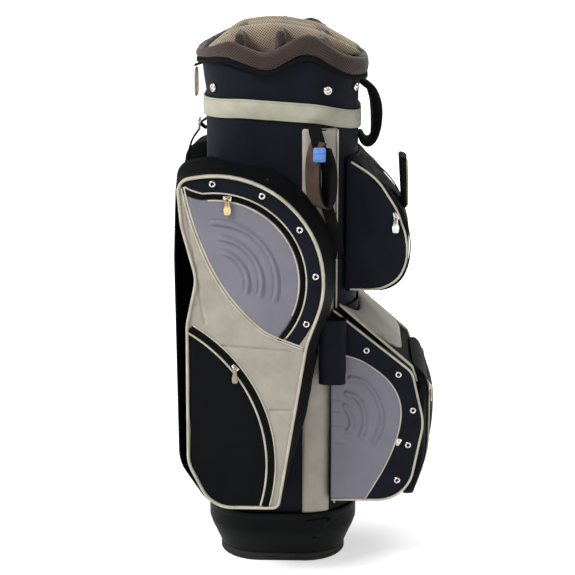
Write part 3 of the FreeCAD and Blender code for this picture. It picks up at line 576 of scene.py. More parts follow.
def panel(name, loop, place, height, thick, material, body, slot, stands_for=(), grid=3.0,
        holes=()):
    """A soft panel: a flat outline filled with small triangles and raised by height(points, edge).

    place(a, b, h) turns flat coordinates and a height into a point in metres."""
    loops = [even(each, grid, closed=True) for each in (loop, *holes)]
    low, high = np.min(loops[0], axis=0), np.max(loops[0], axis=0)
    xs = np.arange(low[0], high[0], grid)
    ys = np.arange(low[1], high[1], grid * 0.866)
    field = np.array([(x + (grid / 2 if j % 2 else 0), y) for j, y in enumerate(ys) for x in xs])
    field = field[inside(field, loops[0])]
    for each in loops:
        field = field[distance(field, each, True) > grid * 0.55]
    for hole in loops[1:]:
        field = field[~inside(field, hole)]
    flat, edges = [], []
    for each in loops:
        start = len(flat)
        flat += [Vector(p) for p in each]
        edges += [(start + i, start + (i + 1) % len(each)) for i in range(len(each))]
    flat += [Vector(p) for p in field.tolist()]
    verts2, _, tris, *_ = delaunay_2d_cdt(flat, edges, [], 1, 1e-5)
    points = np.array([tuple(v) for v in verts2])
    middles = points[np.array(tris)].mean(axis=1)
    keep = inside(middles, loops[0])
    for hole in loops[1:]:
        keep &= ~inside(middles, hole)
    tris = [tuple(t) for t, k in zip(tris, keep) if k]
    edge = np.min([distance(points, each, True) for each in loops], axis=0)
    heights = height(points, edge)
    front = [place(p[0], p[1], h) for p, h in zip(points, heights)]
    back = [place(p[0], p[1], -thick) for p in points]
    total = len(points)
    faces = tris + [tuple(reversed([i + total for i in t])) for t in tris]
    seen = {(i, j) for t in tris for i, j in zip(t, t[1:] + t[:1])}
    faces += [(j, i, i + total, j + total) for i, j in seen if (j, i) not in seen]
    uvs = [(p[0] * MM, p[1] * MM) for p in points] * 2
    return piece(name, front + back, faces, material, body, slot, stands_for, uvs)


def soft(points, size_mm, seed=0.0):
    """Smooth noise from -1 to 1 at each flat point."""
    return np.array([noise.noise(Vector((p[0] / size_mm, p[1] / size_mm, seed))) for p in points])


def groove(points, line, width):
    return np.exp(-(distance(points, line) / width) ** 2)


def pillow(edge, rise, reach):
    """Rise of a padded panel from its sewn edge."""
    return rise * (1 - np.exp(-edge / reach))


# ---- repeated small pieces, made by Geometry Nodes ---------------------------------------
def scatter_tree(name, material):
    """Instances an object on points that carry their own normal and tangent."""
    tree = bpy.data.node_groups.new(name, "GeometryNodeTree")
    tree.interface.new_socket("Points", in_out="INPUT", socket_type="NodeSocketGeometry")
    tree.interface.new_socket("Item", in_out="INPUT", socket_type="NodeSocketObject")
    tree.interface.new_socket("Size", in_out="INPUT", socket_type="NodeSocketFloat")
    tree.interface.new_socket("Result", in_out="OUTPUT", socket_type="NodeSocketGeometry")
    start = add(tree, "NodeGroupInput")
    item = add(tree, "GeometryNodeObjectInfo", {"Object": start.outputs["Item"]})
    reads = [add(tree, "GeometryNodeInputNamedAttribute", {"Name": attribute},
        data_type="FLOAT_VECTOR").outputs["Attribute"] for attribute in ("out", "along")]
    turn = add(tree, "FunctionNodeAxesToRotation", {"Primary Axis": reads[0],
        "Secondary Axis": reads[1]}, primary_axis="Z", secondary_axis="X")
    placed = add(tree, "GeometryNodeInstanceOnPoints", {
        "Points": start.outputs["Points"], "Instance": item.outputs["Geometry"],
        "Rotation": turn.outputs["Rotation"], "Scale": start.outputs["Size"]})
    real = add(tree, "GeometryNodeRealizeInstances", {"Geometry": placed.outputs["Instances"]})
    painted = add(tree, "GeometryNodeSetMaterial", {"Geometry": real.outputs["Geometry"],
        "Material": material})
    add(tree, "NodeGroupOutput", {"Result": painted.outputs["Geometry"]})
    return tree


def scatter(name, spots, item, material, body, slot, stands_for=(), size=1.0):
    """Copies of a small mesh (verts, faces in mm) at spots of (point, out, along) in metres."""
    mesh = bpy.data.meshes.new(name + "_points")
    mesh.from_pydata([tuple(s[0]) for s in spots], [], [])
    for k, attribute in ((1, "out"), (2, "along")):
        layer = mesh.attributes.new(attribute, "FLOAT_VECTOR", "POINT")
        layer.data.foreach_set("vector", [c for s in spots for c in s[k]])
    holder = bpy.data.objects.new(name + "_points", mesh)
    shape = bpy.data.meshes.new(name + "_item")
    shape.from_pydata([tuple(c * MM for c in v) for v in item[0]], [], item[1])
    shape.polygons.foreach_set("use_smooth", [True] * len(shape.polygons))
    template = bpy.data.objects.new(name + "_item", shape)
    for obj in (holder, template):
        bpy.context.scene.collection.objects.link(obj)
    modifier = holder.modifiers.new("scatter", "NODES")
    modifier.node_group = scatter_tree(name, MATERIALS[material])
    for socket in modifier.node_group.interface.items_tree:
        if socket.in_out == "INPUT" and socket.name == "Item":
            modifier[socket.identifier] = template
        if socket.in_out == "INPUT" and socket.name == "Size":
            modifier[socket.identifier] = float(size)
    graph = bpy.context.evaluated_depsgraph_get()
    result = bpy.data.meshes.new_from_object(holder.evaluated_get(graph))
    for obj in (holder, template):
        bpy.data.objects.remove(obj)
    result.name = name
    if not result.materials:
        result.materials.append(MATERIALS[material])
    obj = bpy.data.objects.new(name, result)
    bpy.context.scene.collection.objects.link(obj)
    settle(obj, body, slot, stands_for)
    return obj


def lathe(profile, count=20):
    """A turned shape about Z from (radius, z) points, closed top and bottom."""
    verts, faces = [], []
    for r, z in profile:
        for k in range(count):
            angle = 2 * math.pi * k / count
            verts.append((r * math.cos(angle), r * math.sin(angle), z))
    rows = len(profile)
    for j in range(rows - 1):
        for k in range(count):
            m = (k + 1) % count
            faces.append((j * count + k, j * count + m, (j + 1) * count + m, (j + 1) * count + k))
    if profile[0] != profile[-1]:
        faces.append(tuple(reversed(range(count))))
        faces.append(tuple(range((rows - 1) * count, rows * count)))
    return verts, faces


def capsule(length, width, thick):
    """A small rounded bar along X, such as a stitch or a zip tooth."""
    rings = []
    for x, k in ((-0.5, 0.3), (-0.38, 0.85), (0, 1), (0.38, 0.85), (0.5, 0.3)):
        rings.append([(x * length, k * width / 2 * math.cos(a), k * thick / 2 * math.sin(a))
            for a in [2 * math.pi * i / 6 for i in range(6)]])
    verts, faces, _ = skin([[Vector(v) for v in ring] for ring in rings])
    return verts, faces


def spots_along(points, normals, spacing):
    """Evenly spaced spots on a line of (x, u, z), with their outward and running directions."""
    joined = even([tuple(p) + tuple(n) for p, n in zip(points, normals)], spacing)
    spots = []
    for i, row in enumerate(joined):
        a, b = joined[max(i - 1, 0)], joined[min(i + 1, len(joined) - 1)]
        along = (at(*b[:3]) - at(*a[:3])).normalized()
        spots.append((at(*row[:3]), at(*row[3:]).normalized(), along))
    return spots


def stitches(name, points, normals, material, body, slot, spacing=4.5, length=3.0):
    """A row of sewn stitches just proud of the cloth."""
    return scatter(name, spots_along(points, normals, spacing), capsule(length, 0.9, 0.7),
        material, body, slot)


def zip_teeth(name, points, normals, body, slot):
    """A zip's coil: short turns of nylon across the line."""
    spots = [(p, out, out.cross(along)) for p, out, along in spots_along(points, normals, 2.4)]
    return scatter(name, spots, capsule(5.0, 1.5, 1.6), "black_tape", body, slot)


EYELET = lathe([(2.4, 0.2), (2.8, 1.3), (3.6, 1.7), (4.6, 1.5), (5.5, 0.3), (5.6, -0.2),
    (2.4, -0.2), (2.4, 0.2)])
SNAP = lathe([(7.2, -0.6), (7.2, 0.8), (6.2, 2.0), (5.0, 2.2), (4.2, 1.0), (3.5, 1.0), (3.1, 2.4),
    (1.8, 3.0), (0.2, 3.1)])


# ---- small hardware --------------------------------------------------------------------
def plate(outline, z0, z1, bevel):
    """A flat shape with rounded rims, from its cornered outline (a, b, radius) in mm."""
    rings = [[Vector((a, b, z)) for a, b in rounded(grown(outline, d), per_corner=4)]
        for d, z in ((-bevel, z0), (0, z0 + bevel), (0, z1 - bevel), (-bevel, z1))]
    verts, faces, _ = skin(rings)
    return verts, faces


def together(*shapes):
    verts, faces = [], []
    for part_verts, part_faces in shapes:
        start = len(verts)
        verts += [tuple(v) for v in part_verts]
        faces += [tuple(start + i for i in face) for face in part_faces]
    return verts, faces


def tube_shape(points, radius, closed=False, count=8):
    path = [Vector(p) * MM for p in even(points, radius * 0.8, closed)]
    rings = [[v / MM for v in ring] for ring in sweep(path, circle(radius, count), closed)]
    verts, faces, _ = loop_skin(rings) if closed else skin(rings)
    return verts, faces


def slider_shape():
    """A zip slider: two waisted plates and the bridge that its puller hangs from."""
    nose = [(-6.5, -2.6, 1.5), (-1, -3.6, 3), (6.5, -4.5, 1.5), (6.5, 4.5, 1.5), (-1, 3.6, 3),
        (-6.5, 2.6, 1.5)]
    bridge = [(-4.6, 0, 1.2), (-4.2, 0, 2.9), (0, 0, 3.5), (3.4, 0, 2.9), (3.8, 0, 1.2)]
    return together(plate(nose, 0, 1.6, 0.4), tube_shape(smooth_line(bridge, 5), 1.0))


def puller_shape(length, width, thick):
    """A puller hanging towards -b: a waisted tab under a small ring."""
    tab = [(-width * 0.28, -4, 1.4), (width * 0.28, -4, 1.4), (width * 0.3, -length * 0.35, 6),
        (width / 2, -length * 0.62, 4), (width * 0.4, -length + 1, 2.6),
        (-width * 0.4, -length + 1, 2.6), (-width / 2, -length * 0.62, 4),
        (-width * 0.3, -length * 0.35, 6)]
    parts = [plate(tab, 0, thick, 0.5)]
    inner = [(a * 0.55, -length * 0.55 + (b + length * 0.62) * 0.5, r * 0.5) for a, b, r in tab]
    parts.append(plate(inner, thick - 0.3, thick + 0.35, 0.25))
    ring = [(3.0 * math.cos(a), -2.4 + 3.0 * math.sin(a), thick / 2)
        for a in [2 * math.pi * k / 16 for k in range(16)]]
    parts.append(tube_shape(ring, 0.8, True))
    return together(*parts)


def fitting(name, shape, spot, along, out, material, body, slot, stands_for=()):
    """Set a small shape at a spot (x, u, z): its a axis runs along, its z axis points out."""
    a = at(*along).normalized()
    n = at(*out).normalized()
    b = n.cross(a)
    origin = at(*spot)
    verts = [origin + (a * v[0] + b * v[1] + n * v[2]) * MM for v in shape[0]]
    return piece(name, verts, shape[1], material, body, slot, stands_for)


def own_fitting(name, shape, place, along, out, material, slot):
    """A fitting that moves by itself: its body and its node have its own name."""
    return fitting(name, shape, place, along, out, material, name, slot, [name])


def clip(loop, keep, boundary):
    """The part of a closed loop that keep() accepts, closed by boundary(exit, entry)."""
    flags = [keep(p) for p in loop]
    if all(flags):
        return loop
    start = next(i for i in range(len(loop)) if flags[i] and not flags[i - 1])
    turned = loop[start:] + loop[:start]
    run = []
    for p in turned:
        if not keep(p):
            break
        run.append(p)
    return run + boundary(run[-1], run[0])


def arc_between(cu, cz, r, a, b):
    """Points on a circle from beside a to beside b, the short way, without its ends."""
    start = math.degrees(math.atan2(a[1] - cz, a[0] - cu))
    sweep_by = (math.degrees(math.atan2(b[1] - cz, b[0] - cu)) - start + 180) % 360 - 180
    return arc(cu, cz, r, start, start + sweep_by)


def chain_place(chain):
    """Flat coordinates on a sheet that is bent along a chain of (u, z) and runs across in x."""
    table = np.array(chain, float)
    steps = np.hypot(*(table[1:] - table[:-1]).T)
    lengths = np.concatenate([[0], np.cumsum(steps)])

    def place(x, s, h):
        s = min(max(s, 0), lengths[-1])
        i = min(int(np.searchsorted(lengths, s, side="right")) - 1, len(chain) - 2)
        t = (s - lengths[i]) / steps[i]
        u, z = table[i] + (table[i + 1] - table[i]) * t
        d = (table[i + 1] - table[i]) / steps[i]
        return at(x, u + d[1] * h, z - d[0] * h)
    return place, float(lengths[-1])


def inflate(obj, cap, voxel=5.0, pressure=4.0, frames=20):
    """Swell a closed pad as stuffed cloth under pressure, and cap how far each point moves."""
    scene = bpy.context.scene
    for each in bpy.context.selected_objects:
        each.select_set(False)
    bpy.context.view_layer.objects.active = obj
    remesh = obj.modifiers.new("even", "REMESH")
    remesh.mode = "VOXEL"
    remesh.voxel_size = voxel * MM
    bpy.ops.object.modifier_apply(modifier=remesh.name)
    rest = np.empty(len(obj.data.vertices) * 3)
    obj.data.vertices.foreach_get("co", rest)
    rest = rest.reshape(-1, 3)
    cloth = obj.modifiers.new("stuffed", "CLOTH")
    cloth.settings.quality = 4
    cloth.settings.mass = 0.2
    cloth.settings.tension_stiffness = 12
    cloth.settings.compression_stiffness = 12
    cloth.settings.shear_stiffness = 4
    cloth.settings.bending_stiffness = 0.4
    cloth.settings.use_pressure = True
    cloth.settings.uniform_pressure_force = pressure
    cloth.settings.effector_weights.gravity = 0
    cloth.collision_settings.use_collision = False
    cloth.point_cache.frame_start = 1
    cloth.point_cache.frame_end = frames
    for frame_number in range(1, frames + 1):
        scene.frame_set(frame_number)
    graph = bpy.context.evaluated_depsgraph_get()
    swollen = np.empty(len(rest) * 3)
    obj.evaluated_get(graph).data.vertices.foreach_get("co", swollen)
    moves = swollen.reshape(-1, 3) - rest
    lengths = np.linalg.norm(moves, axis=1, keepdims=True)
    moves *= np.minimum(1, cap * MM / np.maximum(lengths, 1e-9))
    obj.modifiers.remove(cloth)
    scene.frame_set(1)
    obj.data.vertices.foreach_set("co", (rest + moves).ravel())
    fine = obj.modifiers.new("fine", "SUBSURF")
    fine.levels = 1
    fine.render_levels = 1
    bpy.ops.object.modifier_apply(modifier=fine.name)
    obj.data.polygons.foreach_set("use_smooth", [True] * len(obj.data.polygons))
    obj.data.update()


def stuff(obj, cap, spread, voxel=4.0):
    """Swell a pad, then give the new mesh its cloth coordinates."""
    inflate(obj, cap, voxel)
    lay_uv(obj, spread)


def lay_uv(obj, spread):
    """Give a mesh UVs in metres from spread(x, u, z in mm) of each point."""
    mesh = obj.data
    layer = mesh.uv_layers.get("UVMap") or mesh.uv_layers.new(name="UVMap")
    table = [spread(v.co.x / MM, -v.co.y / MM, v.co.z / MM) for v in mesh.vertices]
    index = np.empty(len(mesh.loops), np.int32)
    mesh.loops.foreach_get("vertex_index", index)
    layer.data.foreach_set("uv", (np.array(table, np.float32) * MM)[index].ravel())


def press(obj, lines, depth, width):
    """Sew channels into a pad on the bag's back: its outer face goes in along the lines."""
    points = np.array([(v.co.x / MM, v.co.z / MM) for v in obj.data.vertices])
    move = sum(depth * groove(points, line, width) for line in lines)
    for v, x, d in zip(obj.data.vertices, points[:, 0], move):
        u, n = back_u(x, 0.4)
        out = (-v.co.y / MM - u) * n[1]
        v.co += at(n[0], n[1], 0) * -(d * min(max(out / 5, 0), 1))
    obj.data.update()


def around_bag(x, u, z):
    """Flat cloth coordinates for what wraps round the bag."""
    return math.atan2(x, u) * 118.0, z


# ---- base ------------------------------------------------------------------------------
FOOT_INSET = TUBE_X - size_mm("sole")[1].x
WIDE_Z = 60.0                    # where the base is widest
WIDE_OUT = size_mm("base_cup")[1].x - TUBE_X
BASE_WALL = 4.0


def base_out(z):
    """How far the base stands out from the tube's outline at height z."""
    t = min(max((z - SOLE_TOP) / (WIDE_Z - SOLE_TOP), 0), 1)
    return -FOOT_INSET + (WIDE_OUT + FOOT_INSET) * t


def ring_at(d, z, **counts):
    """A plan ring of points: the tube's outline grown by d, at z or at z(u)."""
    points = plan_ring(TUBE_X + d, TUBE_U + d, max(TUBE_R + d, 5), **counts)
    return [at(x, u, z(u) if callable(z) else z) for x, u, _, _ in points]


def plan_piece(name, levels, material, body, slot, stands_for=(), closed=False, **counts):
    """A piece made of plan rings given as (out, z)."""
    rings = [ring_at(d, z, **counts) for d, z in levels]
    verts, faces, uvs = loop_skin(rings) if closed else skin(rings)
    return piece(name, verts, faces, material, body, slot, stands_for, uvs)


foot = -FOOT_INSET
plan_piece("sole", [(foot - 4, 0), (foot - 1, 0.5), (foot, 1.6), (foot, 5.6), (foot - 0.9, 6.2),
    (foot - 0.9, 7.4), (foot, 8.0), (foot, 13.2), (foot - 0.8, 14.4), (foot - 4, SOLE_TOP)],
    "black_rubber", "bag", "black_rubber", ["sole"])
base_levels = [(foot - 5, SOLE_TOP + 0.3), (foot - 0.6, SOLE_TOP + 0.4)]
base_levels += [(base_out(z), z) for z in (16.5, 24, 32, 40)]
base_levels += [(base_out(48) + 0.4, 48), (base_out(56) - 0.3, 56), (WIDE_OUT - 0.3, 61),
    (WIDE_OUT, 66), (WIDE_OUT, 84), (WIDE_OUT + 0.5, 87.5), (WIDE_OUT + 1.4, 88.5),
    (WIDE_OUT + 1.6, 92), (WIDE_OUT + 1.4, 95.5), (WIDE_OUT + 0.6, BASE_TOP),
    (-1.8, BASE_TOP), (-2.4, 95.5), (-2.4, WIDE_Z), (-4.8, WIDE_Z),
    (base_out(40) - BASE_WALL, 40), (foot - BASE_WALL, 22)]
plan_piece("base_cup", base_levels, *BLACK_PLASTIC, ["base_cup"])


patch = rounded([(38, 84, 6), (90, 88, 8), (56, 40, 9)], per_corner=5)
for side_name, side in SIDES.items():
    def on_base(u, z, h, side=side):
        x, n = wall_at(u, base_out(z))
        return at(side * -(x + n[0] * h), u + n[1] * h, z)
    panel(f"{side_name}_base_patch", patch, on_base, lambda p, e: (0.6 + pillow(e, 1.0, 1.2)
        - 0.5 * groove(e[:, None] * [1, 0], [(2.8, 0), (2.9, 0)], 0.5)),
        0.5, *BLACK_PLASTIC, grid=2.0)
rivets = []
for side in SIDES.values():
    for u, z in ((57, 50), (80, 80)):
        x, n = wall_at(u, base_out(z))
        point = at(side * -(x + n[0] * 1.6), u + n[1] * 1.6, z)
        rivets.append((point, at(side * -n[0], n[1], 0.0).normalized(), Vector((0, 0, 1))))
scatter("base_rivets", rivets, lathe([(4.2, -0.5), (4.2, 0.4), (3.4, 1.2), (1.8, 1.6), (0.3, 1.7)]),
    *BLACK_PLASTIC)

# ---- tube ------------------------------------------------------------------------------
SEATS = dict(straight=16, turn=22)


def cloth_ring(d, z, ripple, seed, **counts):
    """A plan ring of cloth, pulled in here and there by soft folds."""
    ring = []
    for x, u, nx, nu in plan_ring(TUBE_X + d, TUBE_U + d, TUBE_R + d, **counts):
        level = z(u) if callable(z) else z
        fold = noise.noise(Vector((x / 26, u / 26, level / 70 + seed)))
        fine = noise.noise(Vector((x / 9, u / 9, level / 16 + seed)))
        push = -ripple * (0.5 + 0.42 * fold + 0.2 * fine)
        ring.append(at(x + nx * push, u + nu * push, level))
    return ring


cover_rings = [cloth_ring(0, z, 1.2, 1.0, **SEATS) for z in np.linspace(BASE_TOP + 0.4, 769.6, 110)]
cover_rings += [ring_at(-2.4, z, **SEATS) for z in np.linspace(769.6, BASE_TOP + 0.4, 12)]
verts, faces, uvs = loop_skin(cover_rings)
piece("tube_cover", verts, faces, *NAVY_CLOTH, ["tube_cover"], uvs)
plan_piece("tube_liner", [(-2.8, 60.4), (-2.8, 400), (-2.8, LINER_TOP - 1), (-3.4, LINER_TOP),
    (-4.2, LINER_TOP), (-4.7, LINER_TOP - 1), (-4.7, 400), (-4.7, 60.4)],
    "liner_plastic", "bag", "liner_plastic", ["tube_liner"], closed=True)


def back_u(x, d):
    """The tube's back wall at x, grown by d: u, and its outward direction."""
    over = abs(x) - (TUBE_X - TUBE_R)
    if over <= 0:
        return -(TUBE_U + d), (0.0, -1.0)
    reach = TUBE_R + d
    across = math.sqrt(max(reach ** 2 - over ** 2, 0))
    return -(TUBE_U - TUBE_R + across), (math.copysign(over, x) / reach, -across / reach)


def on_back(x, z, h):
    u, n = back_u(x, 0.4)
    return at(x + n[0] * h, u + n[1] * h, z)


PAD_LOW, PAD_HIGH = size_mm("back_pad")[0].z, size_mm("back_pad")[1].z
pad_half = half_x("back_pad")
CHANNEL_PITCH, CHANNEL_INSET = 52, 9
channels = [[(CHANNEL_INSET - pad_half, z), (pad_half - CHANNEL_INSET, z)]
    for z in np.arange(PAD_LOW + 45, PAD_HIGH - 20, CHANNEL_PITCH)]


def pad_height(points, edge):
    return 0.3 + pillow(edge, 5.6, 7) + 0.3 * soft(points, 18)


pad_loop = rounded([(-pad_half, PAD_LOW, 24), (pad_half, PAD_LOW, 24), (pad_half, PAD_HIGH, 24),
    (-pad_half, PAD_HIGH, 24)])
pad = panel("back_pad", pad_loop, on_back, pad_height, 0.0, *BLACK_CLOTH, ["back_pad"])
stuff(pad, 1.6, lambda x, u, z: (x, z))
press(pad, channels, 3.2, 3.0)
pad_rim = even(pad_loop, 4.5, True)
stitch_spots = []
sewn = [on_back(a * 0.95, 532 + (b - 532) * 0.98, 3.4) for a, b in pad_rim]
for i, (a, b) in enumerate(pad_rim):
    here, there = sewn[i], sewn[(i + 1) % len(sewn)]
    _, n = back_u(a, 0)
    stitch_spots.append((here, at(n[0], n[1], 0.0).normalized(), (there - here).normalized()))
scatter("back_pad_stitches", stitch_spots, capsule(3.0, 0.8, 0.6), *BLACK_TAPE)

# ---- trims on the tube's corners and the band --------------------------------------------
strip_loop = [(36, 98), (80, 98), (89.6, 751), (34.2, 751)]


def strip_height(points, edge):
    return 0.2 + pillow(edge, 1.9, 2.5) + 0.35 * soft(points, 30) * np.minimum(edge / 6, 1) \
        - 0.5 * np.exp(-((edge - 5) / 0.8) ** 2)


strips = []
for side_name, side in SIDES.items():
    def on_wall(u, z, h, side=side):
        x, n = wall_at(u, 0.3)
        return at(side * -(x + n[0] * h), u + n[1] * h, z)
    strips.append(panel(f"{side_name}_spine", strip_loop, on_wall, strip_height, 0.0,
        *BEIGE, grid=5))
    line = [tuple(on_wall(u, z, 1.4) / MM) for u, z in even([(88.6, 110), (89.4, 748)], 6)]
    pipe(f"{side_name}_spine_piping", [(x, -y, z) for x, y, z in line], 1.7, *CREAM_PIPING)
join("spine_strips", strips, "bag", "beige_leathercloth", ["spine_strips"])

band_high, band_low = height_of(BAND_TOP), height_of(BAND_LOW)


def band_z(t):
    return lambda u: band_low(u) + (band_high(u) - band_low(u)) * t


band_section = [(1.3, 0.0), (3.0, -0.01), (3.9, 0.03), (3.5, 0.08), (3.35, 0.11), (3.9, 0.16),
    (4.2, 0.35), (4.3, 0.5), (4.2, 0.65), (3.9, 0.84), (3.35, 0.89), (3.5, 0.92),
    (3.9, 0.97), (3.0, 1.01), (1.3, 1.0), (1.2, 0.5)]
verts, faces, uvs = loop_skin([ring_at(d, band_z(t), **SEATS) for d, t in band_section])
piece("band", verts, faces, "band_leathercloth", "bag", "band_leathercloth", ["band"], uvs)


def ring_spots(d, z, spacing, cuff=False):
    """Spots on a plan ring, with their directions, for a row of stitches."""
    size = (CUFF_X + d, CUFF_U + d, CUFF_R + d) if cuff else (TUBE_X + d, TUBE_U + d, TUBE_R + d)
    rows = [(x, u, z(u), nx, nu) for x, u, nx, nu in plan_ring(*size, **SEATS)]
    rows = even(rows, spacing, True)
    spots = []
    for i, (x, u, level, nx, nu) in enumerate(rows):
        after = rows[(i + 1) % len(rows)]
        spots.append((at(x, u, level), at(nx, nu, 0.0).normalized(),
            (at(*after[:3]) - at(x, u, level)).normalized()))
    return spots


scatter("band_stitches", ring_spots(3.5, band_z(0.095), 4.0) + ring_spots(3.5, band_z(0.905), 4.0),
    capsule(2.8, 0.8, 0.7), "tan_piping", "bag", "cream_piping")

# ---- collar, cuff and binding ------------------------------------------------------------
trim_z, rim_z, bar_top = height_of(TRIM_LINE), height_of(RIM_LINE), height_of(BAR_LINE)


def collar_out(z):
    return 9.0 * min(max((z - 799) / 69, 0), 1)


def collar_ring(t, d, ripple):
    ring = []
    for x, u, nx, nu in plan_ring(TUBE_X, TUBE_U, TUBE_R, **SEATS):
        top = trim_z(u) - 4.3
        z = COLLAR_Z + (top - COLLAR_Z) * t
        fold = noise.noise(Vector((x / 20, u / 20, z / 34 + 7)))
        push = d + collar_out(z) - ripple * (0.5 + 0.5 * fold)
        ring.append(at(x + nx * push, u + nu * push, z))
    return ring


collar_rings = [collar_ring(t, 0, 1.6) for t in np.linspace(0, 1, 26)]
collar_rings += [collar_ring(t, -2.4, 0) for t in np.linspace(1, 0, 8)]
verts, faces, uvs = loop_skin(collar_rings)
piece("collar", verts, faces, *NAVY_CLOTH, ["collar"], uvs)

snap_spots = []
for degrees in (-52, 24, 65):
    angle = math.radians(degrees)
    n = (math.cos(angle), math.sin(angle))
    d = collar_out(811)
    x = TUBE_X - TUBE_R + (TUBE_R + d) * n[0]
    u = math.copysign(TUBE_U - TUBE_R, degrees) + (TUBE_R + d) * n[1]
    for side in SIDES.values():
        out = at(side * n[0], n[1], 0.0).normalized()
        snap_spots.append((at(side * (x + n[0]), u + n[1], 811), out, Vector((0, 0, 1))))
scatter("hood_snaps", snap_spots, SNAP, *BRIGHT, ["hood_snaps"])


def cuff_ring(d, t, counts=SEATS):
    ring = []
    for x, u, nx, nu in plan_ring(CUFF_X, CUFF_U, CUFF_R, **counts):
        low, high = trim_z(u) + 4.4, rim_z(u)
        z = low + (high - low) * t
        lump = noise.noise(Vector((x / 24, u / 24, z / 24 + 3)))
        push = d + 1.1 * lump * math.sin(math.pi * min(max(t, 0), 1))
        ring.append(at(x + nx * push, u + nu * push, z))
    return ring


cuff_section = [(-3, 0.0), (-0.6, 0.06), (0.3, 0.25), (0.4, 0.5), (0, 0.74), (-1.4, 0.9),
    (-4, 0.98), (-7, 1.0), (-10, 0.98), (-12.6, 0.9), (-13.8, 0.74), (-14, 0.45),
    (-14, 0.15), (-13, 0.0), (-8, 0.0)]
verts, faces, uvs = loop_skin([cuff_ring(d, t) for d, t in cuff_section])
cuff_pad = piece("cuff_pad", verts, faces, "brown_mesh", "bag", "brown_mesh", ["cuff_pad"], uvs)
inflate(cuff_pad, 2.5, 4.0)
lay_uv(cuff_pad, lambda x, u, z: (around_bag(x, u, z)[0],
    z + (TUBE_X + 20 - math.hypot(x, u)) * 0.6))


def trim_ring(d, up):
    return [at(x, u, trim_z(u) + up)
        for x, u, _, _ in plan_ring(CUFF_X + d, CUFF_U + d, CUFF_R + d, **SEATS)]


trim_section = [(-13.5, -3.6), (-5, -4), (-2.8, -3.4), (-1.6, -1.6), (-1.3, 0), (-1.6, 1.8),
    (-2.8, 3.4), (-5, 4), (-13.5, 3.6)]
verts, faces, uvs = loop_skin([trim_ring(d, up) for d, up in trim_section])
piece("cuff_trim", verts, faces, *BLACK_WEBBING, ["cuff_trim"], uvs)
trim_spots = ring_spots(-1.9, trim_z, 3.2, True)
scatter("cuff_trim_ribs", [(p, n, n.cross(a)) for p, n, a in trim_spots], capsule(6.6, 1.7, 1.4),
    *BLACK_WEBBING)

# ---- divider top -------------------------------------------------------------------------
ROWS = (-64.0, 0.0, 63.0)
BAR_W = 16.0
SIDE_ROW, END_ROW = 52.0, 30.0


CUFF_ROOM = (CUFF_X - CUFF_T - 0.4, CUFF_U - CUFF_T - 0.4)


def room_edge(across, near, far):
    """How far the room inside the cuff reaches, for half sizes near (where) and far (reach)."""
    r = CUFF_R - CUFF_T
    over = abs(across) - (near - r)
    return far if over <= 0 else far - r + math.sqrt(max(r * r - over * over, 0))


def inner_edge(x):
    return room_edge(x, *CUFF_ROOM)


def side_edge(u):
    return room_edge(u, *CUFF_ROOM[::-1])


def padded_bar(line, drop, width, seed):
    """Rings of one padded bar along a plan line, rounded on top and at its ends."""
    line = even(line, 4.0)
    rings = []
    for k, (x, u) in enumerate(line):
        a, b = line[max(k - 1, 0)], line[min(k + 1, len(line) - 1)]
        length = math.hypot(b[0] - a[0], b[1] - a[1])
        n = ((b[1] - a[1]) / length, -(b[0] - a[0]) / length)
        near_end = min(k, len(line) - 1 - k) * 4.0
        shrink = 0.84 + 0.16 * math.sqrt(max(0.0, 1 - (1 - min(near_end / 6, 1)) ** 2))
        top = bar_top(u) - drop - (1 - shrink) * 14
        half = width / 2 * (0.98 + 0.07 * noise.noise(Vector((x / 12, u / 12, seed)))) * shrink
        ring = []
        for s, v in ((-0.7, 0), (-1, 0.12), (-1.05, 0.5), (-1, 0.72), (-0.86, 0.87),
                (-0.55, 0.97), (0, 1), (0.55, 0.97), (0.86, 0.87), (1, 0.72), (1.05, 0.5),
                (1, 0.12), (0.7, 0)):
            z = BAR_Z + 0.2 + (top - BAR_Z) * v
            ring.append(at(x + n[0] * s * half, u + n[1] * s * half, z))
        rings.append(ring)
    verts, faces, uvs = skin(rings)
    return verts, faces, [(b, a) for a, b in uvs]


def bars(name, lines, drop, width, material, slot):
    made = []
    for k, line in enumerate(lines):
        verts, faces, uvs = padded_bar(line, drop, width, k * 3.7)
        made.append(piece(f"{name}_{k}", verts, faces, material, "bag", slot, (), uvs))
    whole = join(name, made, "bag", slot, [name])


gap = BAR_W / 2 + 0.4
END_U = inner_edge(END_ROW) - 1
SIDE_BAR = rounded([(-END_ROW, -END_U, 0), (-SIDE_ROW, ROWS[0], 40), (-SIDE_ROW, ROWS[2], 40),
    (-END_ROW, END_U, 0)], closed=False)
long_lines = [SIDE_BAR, [(-x, u) for x, u in SIDE_BAR], [(0, ROWS[0] + gap), (0, ROWS[2] - gap)]]
bars("long_bars", long_lines, 0.5, BAR_W + 2, "tan_mesh", "tan_mesh")
cross_lines = [[(-side_edge(u) + 1, u), (side_edge(u) - 1, u)] for u in ROWS]
bars("cross_bars", cross_lines, 5.0, BAR_W, "brown_mesh", "brown_mesh")

SHEET_LOW, SHEET_HIGH = size_mm("cross_dividers")[0].z, BAR_Z


